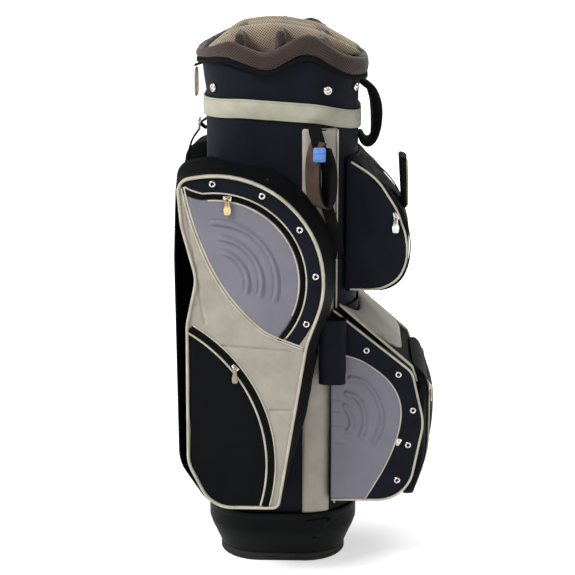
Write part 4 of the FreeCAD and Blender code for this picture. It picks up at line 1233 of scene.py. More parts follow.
def hanging(x0, u0, x1, u1, seed):
    """One divider cloth hung between two plan points, with soft waves down its length."""
    length = math.hypot(x1 - x0, u1 - u0)
    n = ((u1 - u0) / length, -(x1 - x0) / length)
    rings = []
    across = max(4, int(length / 8))
    levels = np.linspace(SHEET_LOW + 1, SHEET_HIGH, 60)
    for z in levels:
        front, back = [], []
        for k in range(across + 1):
            t = k / across
            free = math.sin(math.pi * t) * min((SHEET_HIGH - z) / 200, 1)
            wave = 2.2 * free * noise.noise(Vector((t * 2, z / 90, seed)))
            x, u = x0 + (x1 - x0) * t, u0 + (u1 - u0) * t
            front.append(at(x + n[0] * (wave + 0.4), u + n[1] * (wave + 0.4), z))
            back.append(at(x + n[0] * (wave - 0.4), u + n[1] * (wave - 0.4), z))
        rings.append(front + back[::-1])
    verts, faces, uvs = skin(rings)
    return verts, faces, uvs, length


def wall_reach(x):
    """How far forward the liner's inside reaches at x."""
    over = abs(x) - (TUBE_X - TUBE_R)
    r = TUBE_R - 5.4
    return TUBE_U - 5.4 if over <= 0 else TUBE_U - TUBE_R + math.sqrt(max(r * r - over * over, 0))


def wells(name, runs, node):
    made, width = [], 0.0
    for k, run in enumerate(runs):
        verts, faces, uvs, length = hanging(*run, k * 5.1)
        width += length * MM
        made.append(piece(f"{name}_{k}", verts, faces, *BLACK_CLOTH, (), uvs))
    cloth = join(name, made, "bag", "black_cloth", [node])


sheet_gap = 1.2
long_sheets = []
for x in (-SIDE_ROW, 0, SIDE_ROW):
    long_sheets += [(x, a + sheet_gap, x, b - sheet_gap) for a, b in zip(ROWS, ROWS[1:])]
    if x:
        end = math.copysign(END_ROW + 2, x)
        long_sheets += [(x, ROWS[2] + sheet_gap, end, wall_reach(end) - 2),
            (x, ROWS[0] - sheet_gap, end, 2 - wall_reach(end))]
wells("long_dividers", long_sheets, "long_dividers")
cross_sheets = []
for u in ROWS:
    reach = -wall_at(u, -5.4)[0]
    cross_sheets.append((-reach, u, reach, u))
wells("cross_dividers", cross_sheets, "cross_dividers")

# ---- side pockets ------------------------------------------------------------------------
PANEL_LINE = PANEL_LEFT + SIDE_FRONT
PANEL_LOOP = rounded(PANEL_LINE)
TRIM_LOOP = rounded(grown(PANEL_LINE, -4.8))
DIAG = smooth_line(DIAGONAL, 6)
ZIP_IN, ZIP_OUT = 134.0, 141.0
HINGE_DIR = Vector((HINGE_B[0] - HINGE_A[0], HINGE_B[1] - HINGE_A[1])).normalized()
HINGE_N = Vector((-HINGE_DIR.y, HINGE_DIR.x))
FOLD_HALF = 8.0                  # how far each side of the door's fold two points are set out
P_LIFT = (Vector(HINGE_A) - Vector((ARC_U, ARC_Z))).dot(HINGE_N)


def above(p, gap=0.0):
    """How far a side-view point is above the door's fold."""
    return (Vector(p[:2]) - Vector(HINGE_A)).dot(HINGE_N) - gap


def arc_over_fold(r, gap):
    """The arc of radius r about the pocket's arc centre, where it is above the fold."""
    points = [p for p in arc(ARC_U, ARC_Z, r, -70, 170, 1.5) if above(p) > gap]
    return points


fold = [p for p in DIAG if math.hypot(p[0] - ARC_U, p[1] - ARC_Z) < ZIP_IN - 0.6 or p[0] < -120]
fold = [p for p in fold if p[1] < 662]
TIP = [(-119, 652.5), (-128, 654), (-137, 658)]      # the door cover's pointed back corner
door_arc = arc(ARC_U, ARC_Z, ZIP_IN - 0.4, -70, 170, 2.0)


def angle_at(p):
    return math.degrees(math.atan2(p[1] - ARC_Z, p[0] - ARC_U))


DOOR_LOOP = fold + [p for p in door_arc if angle_at(fold[-1]) < angle_at(p) < 97] + TIP
LEAF_LOOP = [p for p in arc(ARC_U, ARC_Z, ZIP_IN - 1.0, -70, 170, 2.0) if above(p) > 9]
HOLE_LOOP = [p for p in arc(ARC_U, ARC_Z, ZIP_OUT + 0.9, -70, 170, 2.0) if above(p) > -0.6]
LEFT_SEAM = smooth_line([(-117, 452), (-124, 490), (-131, 530), (-137, 580), (-144, 640)], 5)
SEAM_ROWS = [[(-91, 415), (17, 407)], [(-16, 307), (19, 307)]]


def panel_height(points, edge):
    height = pillow(edge, 0.6, 3.0)
    for line in SEAM_ROWS + [LEFT_SEAM]:
        height = height - 2.6 * groove(points, line, 1.8)
    waist = np.exp(-((points[:, 1] - 515) / 38) ** 2) * np.exp(-((points[:, 0] + 136) / 16) ** 2)
    creases = np.array([math.sin(z / 4.6 + 1.6 * noise.noise(Vector((u / 14, z / 30, 2))))
        for u, z in points])
    return height + 0.3 * soft(points, 40) * np.minimum(edge / 10, 1) + 1.5 * waist * creases


RAISED = [(51, 6.5, 75), (73, 6.5, 84), (97, 6.5, 93)]    # radius, width, where each starts


def door_height(points, edge):
    height = 0.35 + pillow(edge, 1.5, 2.2) + pillow(edge, 2.6, 45)
    radius = np.hypot(points[:, 0] - ARC_U, points[:, 1] - ARC_Z)
    angle = np.degrees(np.arctan2(points[:, 1] - ARC_Z, points[:, 0] - ARC_U))
    for r, width, start in RAISED:
        tip = 110 / r
        ends = 1 / (1 + np.exp(-(angle + 17) / tip)) / (1 + np.exp((angle - start) / tip))
        bar = np.exp(-(np.abs(radius - r) / (width / 2)) ** 6)
        ditch = np.exp(-((np.abs(radius - r) - width / 2 - 1.6) / 1.3) ** 2)
        height += (2.7 * bar - 1.5 * ditch) * ends * np.minimum(edge / 8, 1)
    return height + 0.15 * soft(points, 50)


def arc_band_height(points, edge):
    return 0.3 + pillow(edge, 1.5, 2.0) + 0.45 * soft(points, 9) * np.minimum(edge / 4, 1)


def low_height(points, edge):
    folds = np.array([noise.noise(Vector((u / 55 + z / 90, z / 34 - u / 60, 5)))
        for u, z in points])
    sharp = np.array([abs(noise.noise(Vector((u / 30 - z / 50, z / 60, 9)))) for u, z in points])
    return 0.4 + pillow(edge, 1.6, 4) + np.minimum(edge / 14, 1) * (1.6 * folds - 1.6 * sharp + 0.4)


GUSSET_LINE = GUSSET_LEFT + SIDE_FRONT


def tube_x(u, d):
    return -wall_at(u, d)[0] if abs(u) < TUBE_U + d - 0.5 else 0.0


def gusset_rings(depth, back, seed):
    """Rings of the pocket's wall from its face back to the tube; depth is inwards."""
    near = rounded(grown(GUSSET_LINE, -depth), per_corner=14)
    far = rounded(grown(GUSSET_LINE, 8 - depth), per_corner=14)
    order = even([n + f for n, f in zip(near, far)], 4.0, True, 520)
    rings = []
    levels = 26
    for k in range(levels + 1):
        s = k / levels
        ring = []
        for nu, nz, fu, fz in order:
            deep = max(back, tube_x(fu, 3.0))
            x = POCKET_X - s * (POCKET_X - deep)
            t = (POCKET_X - x) / (POCKET_X - back)
            u, z = nu + (fu - nu) * t, nz + (fz - nz) * t
            cu, cz = -60 - u, 400 - z
            reach = math.hypot(cu, cz)
            top = min(max((z - 560) / 90, 0), 1)
            puck = noise.noise(Vector((u / 20, z / 20, x / 60 + seed)))
            ridge = noise.noise(Vector((u / 60, z / 60, x / 5.5 + seed)))
            middle = math.sin(math.pi * min(max(s, 0), 1))
            push = middle * (1.2 + 1.4 * puck + (0.8 + 2.4 * top) * ridge)
            rise = min(max((z - 455) / 60, 0), 1)
            free = rise * min(max((u + 60) / 60, 0), 1)
            push = max(push, 0) - 13.0 * free * min(s / 0.45, 1)
            slack = (1 - rise) * min(max((u + 40) / 30, 0), 1) * min(max((z - 130) / 160, 0), 1)
            slack *= 15.0 * min(s / 0.45, 1) * (1 + 0.12 * noise.noise(Vector((u / 50, z / 26, 4))))
            ring.append((x, u + cu / reach * push + slack, z + cz / reach * push))
        rings.append(ring)
    return rings


def side_face(side, x):
    return lambda u, z, h: at(side * (x + h), u, z)


def ring_ribbon(name, cu, cz, r, start, end, section, x, side, material, body, slot, stands_for=()):
    """A tape along an arc on a side face: section is (across, out) in mm."""
    points = [(side * x, *p) for p in arc(cu, cz, r, start, end, 2.5)]
    return ribbon(name, points, [(side, 0, 0)] * len(points), section, material, body, slot,
        False, stands_for)


TAPE = [(-3.6, 0.1), (-3.6, 0.9), (-2.6, 1.2), (-2.3, 1.9), (2.3, 1.9), (2.6, 1.2), (3.6, 0.9),
    (3.6, 0.1)]
low_angles = [a for a in np.arange(-30, 80, 0.5)
    if inside(np.array([polar(LOW_U, LOW_Z, LOW_ZIP, a)]), TRIM_LOOP)[0]]
zip_arc = arc_over_fold((ZIP_IN + ZIP_OUT) / 2, 6)
ZIP_START, ZIP_END = angle_at(zip_arc[0]), angle_at(zip_arc[-1])
BAND_START, BAND_END = -40.5, 108.5
ZIP_ENDS = [even(smooth_line([(-116, 656.8), (-126, 657.8), (-138, 661.5), (-149, 667)]), 2.5),
    [p for p in arc(ARC_U, ARC_Z, 137.5, -43.5, ZIP_START + 1, 2.5)]]
ZIP_EDGE = arc(ARC_U, ARC_Z, 143.4, -39, 97) + smooth_line(
    [(-124, 664), (-136, 668), (-146, 673)], 4)
EYELET_DEGREES = (91, 62, 33, 4, -25)

eyelet_spots = []
for side_name, side in SIDES.items():
    out = Vector((side, 0, 0))
    door = f"{side_name}_door"
    outer = gusset_rings(0, 75.0, side)
    inner = gusset_rings(2.4, 77.4, side)
    rings = [[at(side * x, u, z) for x, u, z in ring] for ring in outer + inner[::-1]]
    verts, faces, uvs = loop_skin(rings)
    gusset = piece(f"{side_name}_gusset_wall", verts, faces, *BLACK_CLOTH, (), uvs)
    back_loop = [(u, z) for u, z in rounded(grown(GUSSET_LINE, 7.6)) if u < -112]
    back = panel(f"{side_name}_gusset_back", back_loop,
        lambda u, z, h, s=side: at(s * (76 - h), u, z),
        lambda p, e: 0.8 + 0.8 * soft(p, 30) * np.minimum(e / 12, 1), 1.0, *BLACK_CLOTH, grid=6)
    join(f"{side_name}_gusset", [gusset, back], "bag", "black_cloth", [f"{side_name}_gusset"])
    panel(f"{side_name}_panel", PANEL_LOOP, side_face(side, FACE_X), panel_height, 4.9,
        *BEIGE, [f"{side_name}_panel"], grid=2.5, holes=[HOLE_LOOP])
    grey = panel(f"{side_name}_door_cover", DOOR_LOOP, side_face(side, FACE_X), door_height, -0.3,
        "grey_moulded", None, "grey_panel", (), grid=1.8)
    leaf = panel(f"{side_name}_door_lining", LEAF_LOOP, side_face(side, FACE_X),
        lambda p, e: 0.1 + 0 * e, 4.6, "black_nylon", door, "black_cloth",
        [f"{side_name}_door"], grid=6)
    foot_point = (ARC_U + HINGE_N.x * P_LIFT, ARC_Z + HINGE_N.y * P_LIFT)
    start, end = [at(side * (FACE_X + 1), foot_point[0] + HINGE_N.x * w,
        foot_point[1] + HINGE_N.y * w) for w in (-FOLD_HALF, FOLD_HALF)]
    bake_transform(grey)
    ring_ribbon(f"{side_name}_door_zip", ARC_U, ARC_Z, (ZIP_IN + ZIP_OUT) / 2, ZIP_START, ZIP_END,
        TAPE, FACE_X - 0.2, side, "black_tape", door, "black_webbing", [f"{side_name}_door_zip"])
    edge = [p for p in arc(ARC_U, ARC_Z, 131.6, ZIP_START, 97) if above(p) > 12]
    pipe(f"{side_name}_door_piping", [(side * (FACE_X + 1.4), *p) for p in edge], 1.3,
        "cream_piping", door, "cream_piping", out=out)
    for k, line in enumerate(ZIP_ENDS):
        tape = [(side * (FACE_X + 0.3), *p) for p in line]
        ribbon(f"{side_name}_zip_end_{k}", tape, [(side, 0, 0)] * len(tape),
            [(a * 1.15, b) for a, b in TAPE], *BLACK_TAPE)
    teeth = [(side * (FACE_X + 1.9), *p) for p in zip_arc]
    zip_teeth(f"{side_name}_door_teeth", teeth, [(side, 0, 0)] * len(teeth), door, "black_webbing")
    band_loop = arc(ARC_U, ARC_Z, ZIP_OUT + 1.0, BAND_START, BAND_END)
    band_loop += arc(ARC_U, ARC_Z, 167.4, BAND_END, BAND_START)
    panel(f"{side_name}_arc_band", band_loop, side_face(side, FACE_X), arc_band_height, -0.2,
        *NAVY_CLOTH, [f"{side_name}_arc_band"], grid=2.6)
    low_loop = clip(even(TRIM_LOOP, 1.5, True),
        lambda p: math.hypot(p[0] - LOW_U, p[1] - LOW_Z) < LOW_CUT and p[1] < 451,
        lambda a, b: arc_between(LOW_U, LOW_Z, LOW_CUT, a, b))
    panel(f"{side_name}_low_panel", low_loop, side_face(side, FACE_X), low_height, -0.2,
        *BLACK_CLOTH, [f"{side_name}_low_panel"], grid=2.8)
    ring_ribbon(f"{side_name}_low_zip", LOW_U, LOW_Z, LOW_ZIP, low_angles[0], low_angles[-1],
        [(s * 1.75, o) for s, o in TAPE], FACE_X + 0.2, side, *BLACK_TAPE)
    line = [(side * (FACE_X + 2.0), *p) for p in arc(LOW_U, LOW_Z, LOW_ZIP, low_angles[0],
        low_angles[-1], 2.0)]
    zip_teeth(f"{side_name}_low_teeth", line, [(side, 0, 0)] * len(line), "bag", "black_webbing")
    x_pipe = side * (FACE_X + 2.0)
    pipe(f"{side_name}_outer_piping", [(x_pipe, *p) for p in rounded(grown(PANEL_LINE, -2.3))],
        2.3, *CREAM_PIPING, True, out=out)
    low_arc = arc(LOW_U, LOW_Z, LOW_CUT, low_angles[0], low_angles[-1])
    low_rim = arc(LOW_U, LOW_Z, 275.0, low_angles[0] + 0.8, low_angles[-1] - 0.4)
    for edge_name, x_edge, points, radius in (("low_piping", x_pipe, low_arc, 1.7),
            ("low_edge", x_pipe - side * 0.6, low_rim, 1.3),
            ("zip_piping", x_pipe - side * 0.4, ZIP_EDGE, 1.3)):
        pipe(f"{side_name}_{edge_name}", [(x_edge, *p) for p in points], radius, *CREAM_PIPING,
            out=out)
    for k, offset in enumerate((0.0, 4.6)):
        line = [(u + HINGE_N.x * -offset, z + HINGE_N.y * -offset) for u, z in DIAG]
        line = [p for p in line if inside(np.array([p]), TRIM_LOOP)[0]]
        pipe(f"{side_name}_fold_piping_{k}", [(side * (FACE_X + 1.2), *p) for p in line], 1.5,
            *CREAM_PIPING, out=out)
    for u, z in [polar(ARC_U, ARC_Z, 158, a) for a in EYELET_DEGREES]:
        eyelet_spots.append((at(side * (FACE_X + 2.3), u, z), out, Vector((0, 0, 1))))
    for u, z in ((140, 387), (193, 346), (218, 284), (211, 223), (194, 160)):
        eyelet_spots.append((at(side * (BALL_X + 1.2), u, z), out, Vector((0, 0, 1))))

    # sliders and pullers of the side pocket
    x_slide = side * (CLOTH_X + 0.3)
    middle = (ZIP_IN + ZIP_OUT) / 2
    spot = polar(ARC_U, ARC_Z, middle, 81.5)
    run = math.radians(81.5 - 90)
    along = (0, math.cos(run), math.sin(run))
    own_fitting(f"{side_name}_door_slider", slider_shape(), (x_slide, *spot), along, (side, 0, 0),
        "bright_metal", "bright_metal")
    own_fitting(f"{side_name}_door_pull", puller_shape(27, 12, 1.8), (x_slide + side * 3.8, *spot),
        (0, side * -1, 0), (side, 0, 0), "pale_gold", "gold_metal")
    spot = polar(LOW_U, LOW_Z, LOW_ZIP, 38)
    run = math.radians(38 - 90)
    along = (0, math.cos(run), math.sin(run))
    own_fitting(f"{side_name}_low_slider", slider_shape(), (x_slide, *spot), along, (side, 0, 0),
        "bright_metal", "bright_metal")
    own_fitting(f"{side_name}_low_pull", puller_shape(26, 10, 1.6), (x_slide + side * 3.8, *spot),
        (0, side * -1, 0), (side, 0, 0), "taupe_plastic", "taupe_plastic")
    low, high = size_mm(f"{side_name}_gusset_slider")
    centre = ((low + high) / 2).x, -((low + high) / 2).y, ((low + high) / 2).z
    n = (0, math.cos(math.radians(62)), math.sin(math.radians(62)))
    own_fitting(f"{side_name}_gusset_slider", slider_shape(),
        (centre[0], centre[1] - n[1] * 2, centre[2] - n[2] * 2), (0, n[2], -n[1]), n,
        "bright_metal", "bright_metal")

# ---- ball pocket -------------------------------------------------------------------------
for side_name, side in SIDES.items():
    out = Vector((side, 0, 0))
    ball_loop = rounded(BALL_VIEW)
    panel(f"{side_name}_ball_side", ball_loop, side_face(side, BALL_X),
        lambda p, e: 0.2 + pillow(e, 0.8, 4) + 0.5 * soft(p, 26) * np.minimum(e / 8, 1),
        2.4, *NAVY_CLOTH, grid=3.2)
    raised = [[(114, 340), (138, 333), (157, 308), (167, 279), (164, 250), (154, 229)],
        [(108, 314), (126, 305), (137, 282), (138, 256), (132, 237)],
        [(105, 292), (114, 274), (117, 259), (111, 248)]]
    raised = [smooth_line(line, 5) for line in raised]
    grey_loop = smooth_line(BALL_GREY, 5) + [(84, 126)]

    def grey_height(points, edge, raised=raised):
        height = 1.2 + pillow(edge, 1.0, 2)
        for line in raised:
            away = distance(points, line)
            height = height + 2.4 * np.exp(-(away / 3.2) ** 4) * np.minimum(edge / 6, 1) \
                - 1.2 * np.exp(-((away - 4.8) / 1.4) ** 2) * np.minimum(edge / 6, 1)
        for z in (358, 334, 303, 282, 258, 228):
            height = height - 1.1 * groove(points, [(86, z), (103, z - 3)], 1.5)
        return height
    panel(f"{side_name}_ball_grey", grey_loop, side_face(side, BALL_X), grey_height, -0.8,
        "grey_moulded", "bag", "grey_panel", grid=1.9)
    pipe(f"{side_name}_grey_piping",
        [(side * (BALL_X + 1.6), *p) for p in smooth_line(BALL_GREY, 5)],
        1.2, *CREAM_PIPING, out=out)
    rim = rounded(grown(BALL_VIEW, -1.9))
    rim = rim[:-1]
    start = min(range(len(rim)), key=lambda i: abs(rim[i][0] - 84) + abs(rim[i][1] - 456))
    rim = [p for p in rim[start:] + rim[:start] if p[0] > 84.5]
    pipe(f"{side_name}_ball_piping", [(side * (BALL_X + 0.9), *p) for p in rim], 1.9,
        *CREAM_PIPING, out=out)
    spot = (side * (BALL_X + 0.4), 195, 228)
    own_fitting(f"{side_name}_ball_side_slider", slider_shape(), spot,
        (0, math.cos(math.radians(70)), math.sin(math.radians(70))), (side, 0, 0),
        "bright_metal", "bright_metal")
scatter("eyelets", eyelet_spots, EYELET, *BRIGHT, ["eyelets"])

chain = [p for p in rounded(grown(BALL_VIEW, -0.6)) if p[0] > 82.3]
start = max(range(len(chain)), key=lambda i: chain[i][1] - chain[i][0])
chain = chain[start:] + chain[:start]
if chain[1][1] > chain[0][1]:
    chain = chain[::-1]
chain = even(chain, 3.0)
ball_wrap, ball_length = chain_place(chain)
s_of = lambda z: min((i for i in range(len(chain)) if chain[i][0] > 170),
    key=lambda i: abs(chain[i][1] - z)) * ball_length / (len(chain) - 1)
mouth = [(-104, s_of(342)), (104, s_of(342)), (104, s_of(134)), (-104, s_of(134))]


def tube_front(x, d=3.0):
    return -back_u(x, d)[0]


wall_loop = [(-BALL_X + 0.5, 6), (BALL_X - 0.5, 6), (BALL_X - 0.5, ball_length - 6),
    (-BALL_X + 0.5, ball_length - 6)]


def off_tube(place, floor=3.0):
    """Keep a wrapped panel's points in front of the tube."""
    def kept(x, s, h):
        p = place(x, s, h)
        u = -p.y / MM
        front = tube_front(x, floor) if abs(x) < TUBE_X + floor - 0.5 else 0
        if u < front:
            p.y = -front * MM
        return p
    return kept


panel("ball_shell", wall_loop, off_tube(ball_wrap),
    lambda p, e: 0.5 * soft(p, 24) * np.minimum(e / 8, 1), 2.4, "black_nylon", "bag",
    "navy_cloth", ["ball_shell", "ball_piping"], grid=4.5, holes=[mouth])

front_line = rounded([(217, 352, 0), (238, 262, 90), (204, 122, 0)], closed=False)
front_u = [p[0] for p in front_line][::-1]
front_z = [p[1] for p in front_line][::-1]
nose_line = rounded([(231, 352, 0), (268, 272, 90), (218, 122, 0)], closed=False)
nose_u = [p[0] for p in nose_line][::-1]
nose_z = [p[1] for p in nose_line][::-1]


def door_front(x, z):
    """The ball pocket door's outer u: a vertical bow met by the crown across the bag."""
    bow = float(np.interp(z, nose_z, nose_u))
    crown = BALL_NOSE - CROWN_R + math.sqrt(CROWN_R ** 2 - x * x)
    k = 3.0
    return -math.log(math.exp(-bow / k) + math.exp(-crown / k)) * k


def on_ball_door(x, z, h):
    back = float(np.interp(z, front_z, front_u)) + 0.9
    if h < 0:
        return at(x, back, z)
    edge = min(BALL_X - abs(x), z - 126, (352 - z) * 0.6)
    roll = math.sqrt(max(0.0, 1 - (1 - min(max(edge, 0) / 11, 1)) ** 2))
    return at(x, back + (door_front(x, z) - back) * roll * 0.995 + h - 0.3, z)


ball_zip_x = 96.0
centre_oval = rounded([(-70, 160, 40), (70, 160, 40), (70, 320, 40), (-70, 320, 40)])


def ball_door_height(points, edge):
    ring = distance(points, centre_oval, True)
    height = 0.3 - 0.9 * np.exp(-(ring / 2.0) ** 2)
    height -= 1.6 * np.exp(-((np.abs(points[:, 0]) - ball_zip_x) / 4.2) ** 4) * (points[:, 1] > 136)
    return height + 0.35 * soft(points, 26) * np.minimum(edge / 8, 1)


door_loop = rounded([(-BALL_X, 126, 30), (BALL_X, 126, 30), (BALL_X, 352, 46), (-BALL_X, 352, 46)])
panel("ball_door", door_loop, on_ball_door, ball_door_height, 1.0, "black_nylon", "ball_door",
    "black_cloth", ["ball_door"], grid=3.4)
for side_name, side in SIDES.items():
    line = [(side * ball_zip_x, door_front(ball_zip_x, z) - 1.6, z)
        for z in np.arange(146, 326, 3.0)]
    ups = [(side * 0.33, 0.94, 0)] * len(line)
    ribbon(f"{side_name}_ball_front_zip", line, ups, TAPE, "black_tape", "ball_door",
        "black_webbing")
    teeth = [(x + side * 0.4, u + 1.9, z) for x, u, z in line]
    zip_teeth(f"{side_name}_ball_front_teeth", teeth, ups, "ball_door", "black_webbing")
    edge_line = [(side * 86, door_front(86, z) + 0.5, z) for z in np.arange(142, 330, 3.0)]
    pipe(f"{side_name}_ball_door_piping", edge_line, 1.6, "cream_piping", "ball_door",
        "cream_piping")
low, high = size_mm("ball_slider")
own_fitting("ball_slider", slider_shape(), (-ball_zip_x, -high.y, 321), (0, 0, 1), (0, 1, 0),
    "bright_metal", "bright_metal")
own_fitting("ball_pull", puller_shape(27, 12, 1.8), (-ball_zip_x, -high.y + 3.8, 321), (1, 0, 0),
    (0, 1, 0), "pale_gold", "gold_metal")

# the slanted lid, with a zip down each edge
lid_chain = even([(94.5, 460.0), (210, 366.5)], 3.0)
lid_flat, lid_length = chain_place(lid_chain)
lid_dir = Vector((115.5, -93.5)).normalized()


def lid_place(x, s, h):
    """On the lid's slope, bowed along and across like a stuffed flap."""
    if h >= 0:
        t = s / lid_length
        h += 5.0 * math.sin(math.pi * t) + 2.5 - 5.0 * (x / half_x("ball_lid")) ** 2 * (0.5 + t)
        h -= 9.0 * max(t - 0.8, 0) / 0.2 * max(t - 0.8, 0) / 0.2
    return lid_flat(x, s, h)


def lid_s(u):
    return (u - 94.5) / lid_dir.x


lid_x = half_x("ball_lid")
top_edge = [(x, lid_s(max(tube_front(x, 3.4), 96))) for x in np.linspace(-lid_x, lid_x, 40)]
lid_nose = rounded([(lid_x, lid_length * 0.4, 0), (lid_x - 6, lid_length - 12, 34),
    (6 - lid_x, lid_length - 12, 34), (-lid_x, lid_length * 0.4, 0)], closed=False)
lid_loop = top_edge + lid_nose


def lid_height(points, edge):
    height = 1.0 + pillow(edge, 3.2, 5) + 0.5 * soft(points, 30) * np.minimum(edge / 8, 1)
    for x in (-lid_x + 12, lid_x - 12):
        height -= 1.3 * np.exp(-((points[:, 0] - x) / 3.6) ** 4)
    return height


lid = panel("ball_lid", lid_loop, lid_place, lid_height, 3.0, *BEIGE, ["ball_lid"], grid=3.4)
stuff(lid, 1.4, lambda x, u, z: (x, lid_s(u)))
for side_name, side in SIDES.items():
    x = side * (lid_x - 12)
    s0 = lid_s(tube_front(x, 3.4)) + 3
    rows = [tuple(lid_place(x * (1 - 0.1 * s / lid_length), s, 3.4) / MM)
        for s in np.arange(s0, lid_length - 24, 3.0)]
    line = [(a, -b, c) for a, b, c in rows]
    ups = [(0, -lid_dir.y, lid_dir.x)] * len(line)
    ribbon(f"{side_name}_lid_zip", line, ups, TAPE, *BLACK_TAPE)
    teeth = [(a, b - lid_dir.y * 1.8, c + lid_dir.x * 1.8) for a, b, c in line]
    zip_teeth(f"{side_name}_lid_teeth", teeth, ups, "bag", "black_webbing")
for side_name, side in SIDES.items():
    for k, x in enumerate((104.5, 97.5)):
        line = [(side * x, *p) for p in rounded([(94, 459, 0), (214, 354.5, 10), (222, 330, 0)],
            closed=False)]
        line = [(a, u + 1.6, z + 2.0) for a, u, z in line if u > tube_front(x, 4)]
        pipe(f"{side_name}_lid_edge_{k}", line, 1.5, *CREAM_PIPING)
    line = [(side * 101, *p) for p in even([(98, 455.5), (212, 356.2)], 3)]
    line = [(a, u + 0.6, z + 0.8) for a, u, z in line if u > tube_front(101, 4)]
    ups = [(0, -lid_dir.y, lid_dir.x)] * len(line)
    ribbon(f"{side_name}_shell_zip", line, ups, [(a * 0.8, b) for a, b in TAPE], *BLACK_TAPE)
low, high = size_mm("lid_slider")
centre = (low + high) / 2
own_fitting("lid_slider", slider_shape(),
    (centre.x, -centre.y + lid_dir.y * 1.7, centre.z - lid_dir.x * 1.7),
    (0, lid_dir.x, lid_dir.y), (0, -lid_dir.y, lid_dir.x), "black_plastic", "black_plastic")

# ---- upper front pocket --------------------------------------------------------------------
upper_chain = [p for p in rounded(grown(UPPER, -0.4)) if p[0] > 104.5]
start = max(range(len(upper_chain)), key=lambda i: upper_chain[i][1] - upper_chain[i][0])
upper_chain = upper_chain[start:] + upper_chain[:start]
if upper_chain[1][1] > upper_chain[0][1]:
    upper_chain = upper_chain[::-1]
upper_chain = even(upper_chain, 3.0)
upper_wrap, upper_length = chain_place(upper_chain)


def upper_place(x, s, h):
    bulge = (1 - (x / UPPER_X) ** 2) * math.sin(math.pi * min(max(s / upper_length, 0), 1))
    return upper_wrap(x, s, h + (4.0 * bulge if h >= 0 else 0))


upper_loop = [(-UPPER_X + 0.4, 3), (UPPER_X - 0.4, 3), (UPPER_X - 0.4, upper_length - 3),
    (-UPPER_X + 0.4, upper_length - 3)]
panel("upper_pocket_front", upper_loop, off_tube(upper_place, 1.5),
    lambda p, e: 0.2 + 0.9 * soft(p, 22) * np.minimum(e / 8, 1), 2.4, "black_nylon", "bag",
    "navy_cloth", grid=3.6)
for side_name, side in SIDES.items():
    out = Vector((side, 0, 0))
    outline = rounded(UPPER)
    panel(f"{side_name}_upper_side", outline, side_face(side, UPPER_X - 2.5),
        lambda p, e: 0.6 + pillow(e, 1.8, 5) + 0.7 * soft(p, 20) * np.minimum(e / 8, 1),
        1.0, *NAVY_CLOTH, ["upper_pocket"] if side < 0 else (), grid=3.0)
    pipe(f"{side_name}_upper_piping",
        [(side * (UPPER_X + 0.2), u - side - 1, z) for u, z in smooth_line(UPPER_PIPE, 6)], 1.8,
        *CREAM_PIPING, out=out)
    line = [p for p in arc(74, 552, 131.5, 62, -15, 2.5)]
    line = [(side * (UPPER_X - 9), u + 3, z) for u, z in line]
    ribbon(f"{side_name}_upper_zip", line, [(side * 0.5, u - 74, z - 552) for _, u, z in line],
        TAPE, *BLACK_TAPE)
low, high = size_mm("upper_slider")
centre = (low + high) / 2
run = math.radians(26 - 90)
own_fitting("upper_slider", slider_shape(), (high.x, -centre.y, centre.z),
    (0, math.cos(run), math.sin(run)), (-1, 0, 0), "bright_metal", "bright_metal")
low, high = size_mm("upper_pull")
own_fitting("upper_pull", puller_shape(28, 12, 1.8), (high.x, -centre.y, centre.z), (0, 1, 0),
    (-1, 0, 0), "bright_metal", "bright_metal")
tab_outline = rounded([(196.5, 606, 2), (205.5, 606, 2), (203.5, 688, 3), (190.5, 692, 3)])
rings = []
for x, k in ((-25, 0.75), (-24.2, 0.95), (-22, 1), (0, 1), (22, 1), (24.2, 0.95), (25, 0.75)):
    rings.append([at(x, 199 + (u - 199) * k, 648 + (z - 648) * (0.985 + 0.015 * k))
        for u, z in even(tab_outline, 3, True)])
verts, faces, uvs = skin(rings)
piece("glove_tab", verts, faces, "black_nylon", "glove_tab", "black_cloth", ["glove_tab"],
    [(b, a) for a, b in uvs])
for side_name, side in SIDES.items():
    line = [(side * 24.4, u, z)
        for u, z in ((205.9, 610), (205.2, 640), (204.4, 664), (203.2, 686))]
    pipe(f"{side_name}_tab_edge", line, 1.5, "tan_piping", "glove_tab", "beige_leathercloth")

# ---- umbrella sleeve and strap -------------------------------------------------------------
low, high = size_mm("umbrella_sleeve")
sleeve_x, sleeve_u = (low.x + high.x) / 2, -(low.y + high.y) / 2
sleeve_hx, sleeve_hu = (high.x - low.x) / 2, (high.y - low.y) / 2
rings = []
levels = [(z, 0.0) for z in np.arange(low.z + 0.4, high.z - 8, 3.0)]
levels += [(high.z - 8, -0.2), (high.z - 7, 0.5), (high.z - 1.2, 0.5), (high.z, -0.4),
    (high.z, -1.6), (high.z - 1, -2.3), (high.z - 30, -2.4), (low.z + 3, -2.4)]
for z, d in levels:
    ring = []
    for x, u, nx, nu in plan_ring(sleeve_hx, sleeve_hu, sleeve_hx - 0.6, 6, 10):
        lump = 0.5 * noise.noise(Vector((x / 9, u / 9, z / 16)))
        push = d - (0.5 + lump if d > -1 else 0)
        ring.append(at(sleeve_x + x + nx * push, sleeve_u + u + nu * push, z))
    rings.append(ring)
verts, faces, uvs = skin(rings)
piece("umbrella_sleeve", verts, faces, *NAVY_CLOTH, ["umbrella_sleeve"], uvs)

low, high = size_mm("umbrella_strap")
inner_x = -(TUBE_X + 2.9)
loop_mid = inner_x - 12
loop_line = smooth_line([(61, 733), (55, 716), (52, 690), (53, 655), (59, 634), (69, 630),
    (76, 645), (78, 670), (76, 698), (68, 724)], 6)
SKEW = -12.5                     # the loop hangs askew, so that its lining shows


